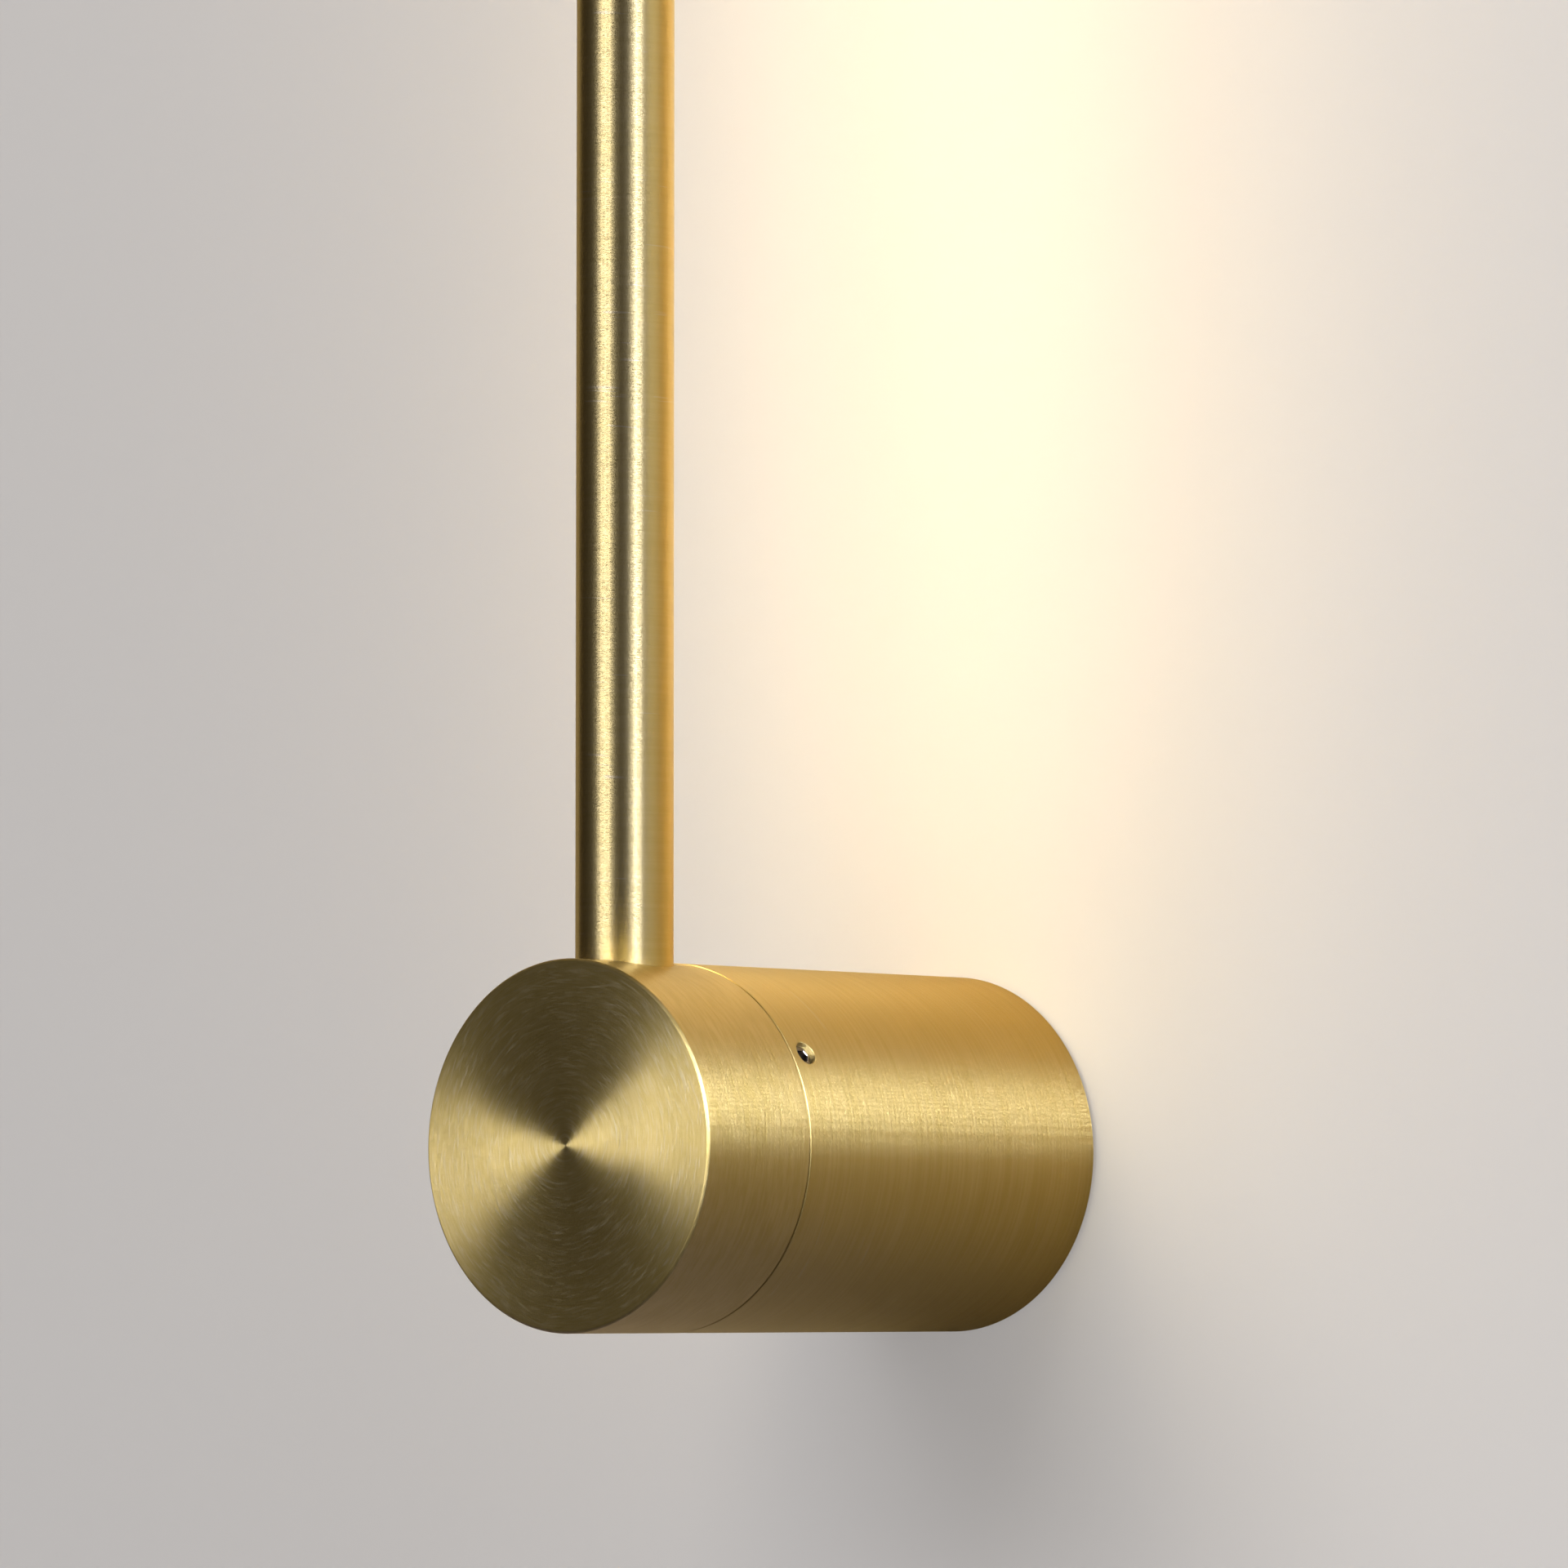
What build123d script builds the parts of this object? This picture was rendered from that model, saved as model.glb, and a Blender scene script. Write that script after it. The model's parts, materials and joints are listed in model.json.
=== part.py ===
from build123d import *
import os
from math import cos, radians, sin

os.makedirs("parts", exist_ok=True)

# A tube wall light. Sizes are in millimetres. The lamp's axis is Y, the wall is the plane y = 0, +Z is up,
# and the lamp stands out from the wall towards -Y. A "reach" is a distance out from the wall.
# The barrel is fixed to the wall. The head puck and its light tube turn in the barrel's mouth.

# ---------------------------------------------------------------- driving dimensions

# outside of the body
body_diameter = 60.0
projection = 100.0
puck_length = 25.0
seam_gap = 0.3
seam_chamfer = 0.35
front_chamfer = 0.6
rim_chamfer = 0.5

# barrel
barrel_wall = 3.0
ring_bore = 40.0
ring_thickness = 4.0

# light tube
tube_diameter = 15.9
tube_wall = 1.2
tube_setback = 14.3
tube_top = 570.0
tube_below_axis = 14.0
tube_fit = 0.05
slot_width = 9.0
slot_above_body = 1.2
slot_below_top = 6.0
slot_corner = 0.3
tube_seat_gap = 0.3
cap_thickness = 1.5
cap_plug = 4.0
plug_fit = 0.05
foot_height = 8.5
foot_screw_drop = 9.6
foot_screw_length = 10.0
foot_chamfer = 0.6
foot_thread_past = 2.0
cap_chamfer = 0.4
cap_plug_chamfer = 0.5
set_screw_rise = 10.6
set_screw_length = 3.0
lead_way = 10.0
lead_window = 9.0

# coupling between barrel and head
spigot_length = 12.0
spigot_bore = 31.0
spigot_fit = 0.05
seat_gap = 0.3
lock_angles = (30, 150, 270)
lock_behind_seam = 3.9
lock_thread = 4.0
lock_length = 4.0
lock_recess = 0.8
lock_groove_width = 4.8
lock_tip_gap = 0.3
turn_limit = 170.0
stop_inset = 3.0
stop_pin_diameter = 2.4
stop_pin_in = 3.0
stop_pin_out = 2.4
stop_clearance = 0.2
stop_groove_floor_gap = 0.4
spigot_screw_inset = 3.7
spigot_screw_angles = (30, 150, 270)
spigot_head = (4.7, 1.9)
spigot_screw_sink = 6.0
spigot_screw_grip = 6.0
spigot_thread_past = 1.0

# wall plate and its posts
plate_thickness = 2.5
plate_fit = 0.1
wall_screw_spacing = 35.0
wall_screw_slot_width = 4.5
wall_screw_slot_length = 7.0
post_inset = 3.2
post_angles = (35, 215)
post_across_flats = 5.0
cable_bore = 8.0
cable_hole = 11.0
cable_drop = 6.0
grommet_flange = 1.5
grommet_chamfer = 0.4
behind_plate_gap = 0.3
post_thread_depth = 6.0
barrel_screw_length = 8.0
bracket_screw_points = [(-6.0, -17.4), (6.0, -17.4)]
block_screw_points = [(-3.5, 11.5), (3.5, 11.5)]
earth_point = (-15.0, 8.5)
tag_diameter = 6.4
tag_thickness = 0.8
crimp_reach = 4.6
crimp_bottom = 11.9
crimp_length = 4.0
crimp_diameter = 3.0
crimp_rise = 3.2
crimp_wire_in = 3.0
tag_neck_width = 2.4
tag_neck_short = 2.0

# driver on its shelf
shelf_thickness = 1.0
shelf_width = 18.0
shelf_top_drop = 21.3
driver_to_ring = 4.7
driver_length = 34.0
driver_width = 26.0
driver_height = 18.3
driver_wall = 1.5
driver_corner = 2.0
driver_inside_corner = 1.1
ear_length = 6.0
ear_width = 10.0
ear_thickness = 2.0
foot_rise = 7.6
bend_radius = 0.4
board_standoff = 1.5
board_thickness = 1.2
board_gap = 0.2
chip_end_gap = 4.0
lid_fillet = 0.6
lid_lip_gap = 0.1
lid_lip_thickness = 1.0
lid_lip_depth = 1.5
lid_lip_corner = 0.9
standoff_inset = 2.0
standoff_radius = 1.5
ear_overlap = 0.5
ear_corner = 0.45
driver_screw_past = 0.8
transformer_size = (11.0, 9.0, 8.5)
transformer_place = (-3.5, 1.0)
core_size = (4.5, 3.0)
core_place = (8.0, -6.0)
capacitor_height = 9.5
large_capacitor = (6.5, 4.0, 6.3)
small_capacitor = (7.0, -1.2, 3.5)
chip_size = (5.0, 4.0, 1.6)
chip_x = -7.0
fuse_size = (5.0, 2.6)
fuse_x = -8.0
capacitor_fillet = 0.5

# terminal block
pole_pitch = 7.0
block_height = 11.0
block_bottom = 6.0
block_depth = 10.5
wire_entry = 3.2
wire_reach = 7.0
wire_grip = 4.5
pole_waist = 1.2
pole_corner = 0.8
clamp_spacing = 5.0
clamp_screw_diameter = 2.6
clamp_screw_sink = 0.6
clamp_slot_width = 0.5
clamp_slot_depth = 0.6
clamp_slot_share = 0.9
pole_shoulder = 1.0

# light source
led_pitch = 16.0
strip_width = 10.0
strip_thickness = 0.3
led_size = (3.5, 2.8, 0.8)
carrier_fit = 0.15
carrier_flat = 0.6
channel_depth = 0.4
channel_width = 10.3
diffuser_fit = 0.15
diffuser_recess = 0.3
diffuser_wall = 1.6
wing_thickness = 1.0
wing_width = 11.4
wing_floor = 2.6
carrier_bottom = 15.0
carrier_below_slot_top = 1.0
carrier_groove_width = 5.0
carrier_groove_depth = 1.6
strip_bottom = 24.0
led_first = 40.0
led_end_gap = 4.0
strip_below_carrier = 2.0

# leads
low_voltage_lead = 1.4
lead_spread = 1.0
head_lead_bend = 6.0
plug_in_spigot = 3.0
plug_length = 8.0
plug_diameter = 8.0
plug_nose = 5.0
plug_nose_length = 5.5
plug_fillet = 0.8
plug_nose_chamfer = 0.4
strip_lead_rise = 3.0
socket_behind_ring = 1.7
socket_diameter = 10.0
mains_lead = 1.8
mains_crest = 22.0
mains_bend = 3.6
earth_crest = 21.6
earth_bend = 3.4
input_before_block = 5.5
input_spread = 4.0
output_inset = 5.0
output_spread = 2.0
output_height_shift = 1.2
output_run = 2.5
output_rise = 3.5
output_bends = [3.5, 3.5, 3.0]

# screws
screw_fit = 0.02
through_fit = 0.1
loose_fit = 0.15
m3 = 3.0
m25 = 2.5
m2 = 2.0
m3_head = (5.6, 2.0)
m25_head = (4.6, 1.8)
m2_head = (3.6, 1.3)
flush_head = 5.5
hex_socket = 2.0
head_bevel_share = 0.4
cross_span_share = 0.55
cross_width_share = 0.14
socket_share = 0.33
cone_share = 0.2
screw_end_gap = 0.4
hole_overrun = 0.5
pin_chamfer = 0.25

# ---------------------------------------------------------------- worked-out values

body_radius = body_diameter / 2
bore_radius = body_radius - barrel_wall
puck_back = projection - puck_length
barrel_length = puck_back - seam_gap
tube_radius = tube_diameter / 2
tube_inside = tube_radius - tube_wall
tube_reach = projection - tube_setback
spigot_back = puck_back - spigot_length
ring_front = spigot_back - seat_gap
ring_back = ring_front - ring_thickness
spigot_radius = bore_radius - spigot_fit
lock_reach = puck_back - lock_behind_seam
lock_tip_radius = body_radius - lock_recess - lock_length
lock_groove_radius = lock_tip_radius - lock_tip_gap
stop_radius = bore_radius - stop_inset
spigot_screw_radius = spigot_bore / 2 + spigot_screw_inset
post_radius = bore_radius - post_inset
plate_radius = bore_radius - plate_fit
shelf_top = -shelf_top_drop
driver_front = ring_back - driver_to_ring - ear_length
driver_back = driver_front - driver_length
driver_middle = driver_back + driver_length / 2
driver_top = shelf_top + driver_height
block_top = block_bottom + block_height
block_front = plate_thickness + block_depth
input_reach = block_front + input_before_block
output_start = driver_front - output_inset
output_knee = driver_front + output_run
output_top = output_knee + output_rise
plug_shoulder = spigot_back + plug_in_spigot
socket_back = ring_back - socket_behind_ring
block_width = 3 * pole_pitch
driver_inside_width = driver_width - 2 * driver_wall
driver_inside_length = driver_length - 2 * driver_wall
standoff_width = driver_inside_width - 2 * standoff_inset
standoff_length = driver_inside_length - 2 * standoff_inset
lip_width = driver_inside_width - 2 * lid_lip_gap
lip_length = driver_inside_length - 2 * lid_lip_gap
shelf_front = driver_front + ear_length
ear_screw_reaches = (driver_back - ear_length / 2, driver_front + ear_length / 2)
output_height = shelf_top + driver_height / 2 + output_height_shift
output_points = [(-output_spread, output_height), (output_spread, output_height)]
slot_bottom = body_radius + slot_above_body
slot_top = tube_top - slot_below_top
carrier_top = slot_top - carrier_below_slot_top
strip_front = tube_reach + carrier_flat + channel_depth
strip_top = carrier_top - strip_below_carrier
led_count = int((strip_top - led_end_gap - led_first) / led_pitch) + 1


# ---------------------------------------------------------------- helpers

def facing_out(reach):
    """A plane across the lamp's axis, facing away from the wall, with its own y upwards."""
    return Plane.XZ.offset(reach)


def facing_in(reach):
    """A plane across the lamp's axis, facing the wall, with its own y upwards."""
    return Plane(origin=(0, -reach, 0), x_dir=(-1, 0, 0), z_dir=(0, 1, 0))


def facing_wall(place):
    """The same place turned to face the wall."""
    return place * Location((0, 0, 0), (0, 180, 0))


def across_tube(height):
    """A level plane centred on the light tube."""
    return Plane(origin=(0, -tube_reach, height), x_dir=(1, 0, 0), z_dir=(0, 0, 1))


def radial_plane(angle, reach, radius):
    """A plane that touches a cylinder about the lamp's axis, facing outwards at an angle above +X."""
    out = Vector(cos(radians(angle)), 0, sin(radians(angle)))
    return Plane(origin=out * radius + Vector(0, -reach, 0), x_dir=(0, -1, 0), z_dir=out)


def around_axis(radius, angles, reach):
    """Places on a circle about the lamp's axis, facing away from the wall."""
    plane = facing_out(reach)
    points = [(radius * cos(radians(a)), radius * sin(radians(a))) for a in angles]
    return [plane.location * Location((x, y, 0)) for x, y in points]


def on_plane(plane, points):
    """Places at points of a plane, facing as it does."""
    return [plane.location * Location((x, y, 0)) for x, y in points]


def pan_screw(place, diameter, length, head):
    """A pan-head screw whose head (diameter, height) sits on a place and whose shank goes in behind it."""
    plane = Plane(place)
    head_diameter, head_height = head
    with BuildPart() as screw:
        with BuildSketch(plane):
            Circle(head_diameter / 2)
        extrude(amount=head_height)
        chamfer(screw.edges().group_by(plane_axis(plane))[-1], head_height * head_bevel_share)
        with BuildSketch(plane):
            Circle(diameter / 2)
        extrude(amount=-length)
        with BuildSketch(plane.offset(head_height)):
            Rectangle(head_diameter * cross_span_share, head_diameter * cross_width_share)
            Rectangle(head_diameter * cross_width_share, head_diameter * cross_span_share)
        extrude(amount=-head_height * cross_span_share, mode=Mode.SUBTRACT)
    return screw.part


def flush_screw(place, diameter, length, head_diameter):
    """A countersunk screw with a hexagon socket, flush with a place and going in behind it."""
    plane = Plane(place)
    cone_depth = (head_diameter - diameter) / 2
    with BuildPart() as screw:
        with BuildSketch(plane):
            Circle(head_diameter / 2)
        with BuildSketch(plane.offset(-cone_depth)):
            Circle(diameter / 2)
        loft()
        with BuildSketch(plane.offset(-cone_depth)):
            Circle(diameter / 2)
        extrude(amount=cone_depth - length)
        with BuildSketch(plane):
            RegularPolygon(diameter * socket_share, 6, major_radius=False)
        extrude(amount=-cone_depth, mode=Mode.SUBTRACT)
    return screw.part


def grub_screw(place, diameter, length, socket):
    """A headless screw with a hexagon socket, its outer end on a place and its cone tip inside."""
    plane = Plane(place)
    with BuildPart() as screw:
        with BuildSketch(plane):
            Circle(diameter / 2)
        extrude(amount=-length)
        tip = screw.edges().filter_by(GeomType.CIRCLE).group_by(plane_axis(plane))[0]
        chamfer(tip, diameter * cone_share)
        with BuildSketch(plane):
            RegularPolygon(socket / 2, 6, major_radius=False)
        extrude(amount=-length / 2, mode=Mode.SUBTRACT)
    return screw.part


def plane_axis(plane):
    """The axis along which a plane faces."""
    return Axis(plane.origin, plane.z_dir)


def wire(points, radii, diameter):
    """A round insulated lead along straight runs joined by tangent arcs."""
    with BuildPart() as lead:
        with BuildLine() as route:
            FilletPolyline(*points, radius=radii)
        with BuildSketch(Plane(origin=route.line @ 0, z_dir=route.line % 0)):
            Circle(diameter / 2)
        sweep()
    return lead.part


# ---------------------------------------------------------------- barrel, fixed to the wall

with BuildPart() as barrel:
    with BuildSketch(Plane.YZ):
        with BuildLine():
            Polyline(
                (0, bore_radius),
                (-ring_back, bore_radius),
                (-ring_back, ring_bore / 2),
                (-ring_front, ring_bore / 2),
                (-ring_front, bore_radius),
                (-barrel_length, bore_radius),
                (-barrel_length, body_radius),
                (0, body_radius),
                close=True,
            )
        make_face()
    revolve(axis=Axis.Y)
    circles = barrel.edges().filter_by(GeomType.CIRCLE)
    rims = circles.filter_by(lambda e: e.radius > body_radius - barrel_wall / 2).sort_by(Axis.Y)
    chamfer(rims[0], seam_chamfer)
    chamfer(rims[-1], rim_chamfer)
    with Locations(*[radial_plane(a, lock_reach, body_radius) for a in lock_angles]):
        Hole(lock_thread / 2 + screw_fit, depth=barrel_wall + hole_overrun)
    with Locations(*around_axis(post_radius, post_angles, ring_front)):
        CounterSinkHole(
            m3 / 2 + loose_fit,
            flush_head / 2 + plug_fit,
            depth=ring_thickness,
            counter_sink_angle=90,
        )
    with Locations(*around_axis(stop_radius, (90,), ring_front)):
        Hole(stop_pin_diameter / 2, depth=stop_pin_in)
barrel.part.label = "barrel"
export_step(barrel.part, "parts/barrel.step")

# the three hexagon-socket screws that lock the head, seen just behind the seam
lock_screw_list = [
    grub_screw(
        radial_plane(a, lock_reach, body_radius - lock_recess).location,
        lock_thread,
        lock_length,
        hex_socket,
    )
    for a in lock_angles
]
with BuildPart() as lock_screws:
    add(lock_screw_list)
lock_screws.part.label = "lock_screws"
export_step(lock_screws.part, "parts/lock_screws.step")

# the pin that ends the head's turn, pressed into the inner ring
with BuildPart() as stop_pin:
    with BuildSketch(Plane(around_axis(stop_radius, (90,), ring_front - stop_pin_in)[0])):
        Circle(stop_pin_diameter / 2 - screw_fit)
    extrude(amount=stop_pin_in + seat_gap + stop_pin_out)
    chamfer(stop_pin.edges().filter_by(GeomType.CIRCLE), pin_chamfer)
stop_pin.part.label = "stop_pin"
export_step(stop_pin.part, "parts/stop_pin.step")

# ---------------------------------------------------------------- head puck and its spigot

with BuildPart() as head_puck:
    with BuildSketch(facing_out(puck_back)):
        Circle(body_radius)
    extrude(amount=puck_length)
    puck_rims = head_puck.edges().filter_by(GeomType.CIRCLE).sort_by(Axis.Y)
    chamfer(puck_rims[0], front_chamfer)
    chamfer(puck_rims[-1], seam_chamfer)
    with BuildSketch(across_tube(-tube_below_axis - tube_seat_gap)):
        Circle(tube_radius + tube_fit)
    extrude(amount=body_radius + tube_below_axis + tube_seat_gap, mode=Mode.SUBTRACT)
    with BuildSketch(facing_out(puck_back)):
        Circle(lead_way / 2)
    extrude(amount=tube_reach - puck_back, mode=Mode.SUBTRACT)
    with Locations(*on_plane(facing_in(puck_back), [(0, -foot_screw_drop)])):
        Hole(m3 / 2 + through_fit, depth=tube_reach - puck_back)
    with Locations(*on_plane(facing_in(puck_back), [(0, set_screw_rise)])):
        Hole(lock_thread / 2 + screw_fit, depth=tube_reach - puck_back)
    puck_screw_places = around_axis(spigot_screw_radius, spigot_screw_angles, puck_back)
    with Locations(*[facing_wall(p) for p in puck_screw_places]):
        Hole(m25 / 2 + screw_fit, depth=spigot_screw_grip + spigot_thread_past)
head_puck.part.label = "head_puck"
export_step(head_puck.part, "parts/head_puck.step")

# a turned ring that centres the head in the barrel: the outer groove takes the lock screws' tips and
# the arc groove in its back face takes the stop pin
with BuildPart() as spigot_ring:
    with BuildSketch(Plane.YZ):
        with BuildLine():
            Polyline(
                (-spigot_back, spigot_bore / 2),
                (-spigot_back, spigot_radius),
                (-lock_reach + lock_groove_width / 2, spigot_radius),
                (-lock_reach + lock_groove_width / 2, lock_groove_radius),
                (-lock_reach - lock_groove_width / 2, lock_groove_radius),
                (-lock_reach - lock_groove_width / 2, spigot_radius),
                (-puck_back, spigot_radius),
                (-puck_back, spigot_bore / 2),
                close=True,
            )
        make_face()
    revolve(axis=Axis.Y)
    stop_route = CenterArc((0, 0), stop_radius, 90 - turn_limit, 2 * turn_limit, mode=Mode.PRIVATE)
    with BuildSketch(facing_out(spigot_back)):
        SlotArc(stop_route, stop_pin_diameter + 2 * stop_clearance)
    extrude(amount=stop_pin_out + stop_groove_floor_gap, mode=Mode.SUBTRACT)
    ring_screw_places = around_axis(spigot_screw_radius, spigot_screw_angles, spigot_back)
    with Locations(*[facing_wall(p) for p in ring_screw_places]):
        CounterBoreHole(
            m25 / 2 + loose_fit,
            spigot_head[0] / 2 + loose_fit,
            spigot_screw_sink,
            depth=spigot_length,
        )
spigot_ring.part.label = "spigot_ring"
export_step(spigot_ring.part, "parts/spigot_ring.step")

spigot_screw_list = [
    pan_screw(
        facing_wall(p),
        m25,
        spigot_length - spigot_screw_sink + spigot_screw_grip,
        spigot_head,
    )
    for p in around_axis(spigot_screw_radius, spigot_screw_angles, spigot_back + spigot_screw_sink)
]
with BuildPart() as spigot_screws:
    add(spigot_screw_list)
spigot_screws.part.label = "spigot_screws"
export_step(spigot_screws.part, "parts/spigot_screws.step")

# ---------------------------------------------------------------- light tube and what it holds

with BuildPart() as light_tube:
    with BuildSketch(across_tube(-tube_below_axis)):
        Circle(tube_radius)
        Circle(tube_inside, mode=Mode.SUBTRACT)
    extrude(amount=tube_below_axis + tube_top - cap_thickness)
    with BuildSketch(facing_in(tube_reach)) as light_slot:
        with Locations((0, (slot_bottom + slot_top) / 2)):
            RectangleRounded(slot_width, slot_top - slot_bottom, slot_corner)
        Circle(lead_window / 2)
        with Locations((0, -foot_screw_drop)):
            Circle(m3 / 2 + through_fit)
    extrude(amount=tube_radius, mode=Mode.SUBTRACT)
light_tube.part.label = "light_tube"
export_step(light_tube.part, "parts/light_tube.step")

# the plug in the tube's lower end, which takes the screw that holds the tube in the puck
with BuildPart() as tube_foot:
    with BuildSketch(across_tube(-tube_below_axis)):
        Circle(tube_inside - plug_fit)
    extrude(amount=foot_height)
    chamfer(tube_foot.edges().filter_by(GeomType.CIRCLE).sort_by(Axis.Z)[-1], foot_chamfer)
    with Locations(*on_plane(facing_in(tube_reach - tube_inside), [(0, -foot_screw_drop)])):
        Hole(m3 / 2 + screw_fit, depth=tube_inside + foot_thread_past)
tube_foot.part.label = "tube_foot"
export_step(tube_foot.part, "parts/tube_foot.step")

tube_screw_shape = pan_screw(
    on_plane(facing_in(puck_back), [(0, -foot_screw_drop)])[0],
    m3,
    foot_screw_length,
    m3_head,
)
with BuildPart() as tube_screw:
    add(tube_screw_shape)
tube_screw.part.label = "tube_screw"
export_step(tube_screw.part, "parts/tube_screw.step")

set_screw_reach = tube_reach - tube_radius - tube_fit - set_screw_length
tube_set_screw_shape = grub_screw(
    on_plane(facing_in(set_screw_reach), [(0, set_screw_rise)])[0],
    lock_thread,
    set_screw_length,
    hex_socket,
)
with BuildPart() as tube_set_screw:
    add(tube_set_screw_shape)
tube_set_screw.part.label = "tube_set_screw"
export_step(tube_set_screw.part, "parts/tube_set_screw.step")

with BuildPart() as tube_cap:
    with BuildSketch(across_tube(tube_top - cap_thickness)):
        Circle(tube_radius)
    extrude(amount=cap_thickness)
    chamfer(tube_cap.edges().filter_by(GeomType.CIRCLE).sort_by(Axis.Z)[-1], cap_chamfer)
    with BuildSketch(across_tube(tube_top - cap_thickness)):
        Circle(tube_inside - plug_fit)
    extrude(amount=-cap_plug)
    chamfer(tube_cap.edges().filter_by(GeomType.CIRCLE).sort_by(Axis.Z)[0], cap_plug_chamfer)
tube_cap.part.label = "tube_cap"
export_step(tube_cap.part, "parts/tube_cap.step")

# an aluminium bar that fills the front of the tube and draws the heat into it; its flat back has a
# channel for the light strip and two grooves that make it lighter
with BuildPart() as led_carrier:
    with BuildSketch(across_tube(carrier_bottom)) as carrier_outline:
        Circle(tube_inside - carrier_fit)
        with Locations((0, tube_inside - carrier_flat)):
            Rectangle(tube_diameter, 2 * tube_inside, mode=Mode.SUBTRACT)
        with Locations((0, -carrier_flat)):
            Rectangle(channel_width, 2 * channel_depth, mode=Mode.SUBTRACT)
        with Locations((0, -tube_inside)):
            Rectangle(carrier_groove_width, 2 * carrier_groove_depth, mode=Mode.SUBTRACT)
    extrude(amount=carrier_top - carrier_bottom)
led_carrier.part.label = "led_carrier"
export_step(led_carrier.part, "parts/led_carrier.step")

with BuildPart() as led_strip:
    with BuildSketch(facing_in(strip_front)):
        with Locations((0, (strip_bottom + strip_top) / 2)):
            Rectangle(strip_width, strip_top - strip_bottom)
    extrude(amount=strip_thickness)
led_strip.part.label = "led_strip"
export_step(led_strip.part, "parts/led_strip.step")

led_heights = [led_first + i * led_pitch for i in range(led_count)]
with BuildPart() as led_chips:
    with BuildSketch(facing_in(strip_front - strip_thickness)):
        with Locations(*[(0, height) for height in led_heights]):
            Rectangle(led_size[0], led_size[1])
    extrude(amount=led_size[2])
led_chips.part.label = "led_chips"
export_step(led_chips.part, "parts/led_chips.step")

# the opal cover snaps into the slot: its crown follows the tube's curve and its two wings lie inside
with BuildPart() as diffuser:
    with BuildSketch(across_tube(slot_bottom + diffuser_fit)):
        Circle(tube_radius - diffuser_recess)
        Circle(tube_radius - diffuser_recess - diffuser_wall, mode=Mode.SUBTRACT)
        with Locations((0, tube_radius)):
            Rectangle(slot_width - 2 * diffuser_fit, 2 * tube_radius, mode=Mode.INTERSECT)
    extrude(amount=slot_top - slot_bottom - 2 * diffuser_fit)
    with BuildSketch(across_tube(slot_bottom + diffuser_fit)):
        Circle(tube_inside - diffuser_fit)
        Circle(tube_inside - diffuser_fit - wing_thickness, mode=Mode.SUBTRACT)
        with Locations((0, tube_radius)):
            Rectangle(wing_width, 2 * tube_radius - 2 * wing_floor, mode=Mode.INTERSECT)
    extrude(amount=slot_top - slot_bottom - 2 * diffuser_fit)
diffuser.part.label = "diffuser"
export_step(diffuser.part, "parts/diffuser.step")

# ---------------------------------------------------------------- low-voltage connector on the turning axis

with BuildPart() as lead_plug:
    with BuildSketch(facing_out(plug_shoulder)):
        Circle(plug_diameter / 2)
    extrude(amount=plug_length)
    fillet(lead_plug.edges().filter_by(GeomType.CIRCLE).sort_by(Axis.Y)[0], plug_fillet)
    with BuildSketch(facing_out(plug_shoulder)):
        Circle(plug_nose / 2)
    extrude(amount=-plug_nose_length)
    chamfer(lead_plug.edges().filter_by(GeomType.CIRCLE).sort_by(Axis.Y)[-1], plug_nose_chamfer)
lead_plug.part.label = "lead_plug"
export_step(lead_plug.part, "parts/lead_plug.step")

with BuildPart() as lead_socket:
    with BuildSketch(facing_out(socket_back)):
        Circle(socket_diameter / 2)
    extrude(amount=plug_shoulder - seat_gap - socket_back)
    fillet(lead_socket.edges().filter_by(GeomType.CIRCLE).sort_by(Axis.Y)[-1], plug_fillet)
    with BuildSketch(facing_out(plug_shoulder - plug_nose_length - seat_gap)):
        Circle(plug_nose / 2 + spigot_fit)
    extrude(amount=plug_nose_length + seat_gap, mode=Mode.SUBTRACT)
lead_socket.part.label = "lead_socket"
export_step(lead_socket.part, "parts/lead_socket.step")

strip_lead_reach = strip_front - strip_thickness - low_voltage_lead / 2 - screw_fit
plug_back = plug_shoulder + plug_length
for lead_name, side in (("head_lead_plus", 1), ("head_lead_minus", -1)):
    lead_x = side * lead_spread
    head_points = [
        (lead_x, -strip_lead_reach, strip_bottom + strip_lead_rise),
        (lead_x, -strip_lead_reach, 0),
        (lead_x, -plug_back, 0),
    ]
    head_lead_shape = wire(head_points, [head_lead_bend], low_voltage_lead)
    with BuildPart() as head_lead:
        add(head_lead_shape)
    head_lead.part.label = lead_name
    export_step(head_lead.part, f"parts/{lead_name}.step")

# ---------------------------------------------------------------- wall plate and posts

with BuildPart() as back_plate:
    with BuildSketch(facing_out(0)) as plate_outline:
        Circle(plate_radius)
        with Locations((-wall_screw_spacing / 2, 0), (wall_screw_spacing / 2, 0)):
            SlotOverall(wall_screw_slot_length, wall_screw_slot_width, mode=Mode.SUBTRACT)
        with Locations((0, -cable_drop)):
            Circle(cable_hole / 2, mode=Mode.SUBTRACT)
        with PolarLocations(post_radius, 2, start_angle=post_angles[0]):
            Circle(m3 / 2 + screw_fit, mode=Mode.SUBTRACT)
        with Locations(*bracket_screw_points):
            Circle(m3 / 2 + screw_fit, mode=Mode.SUBTRACT)
        with Locations(*block_screw_points):
            Circle(m2 / 2 + screw_fit, mode=Mode.SUBTRACT)
        with Locations(earth_point):
            Circle(m3 / 2 + screw_fit, mode=Mode.SUBTRACT)
    extrude(amount=plate_thickness)
back_plate.part.label = "back_plate"
export_step(back_plate.part, "parts/back_plate.step")

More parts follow.
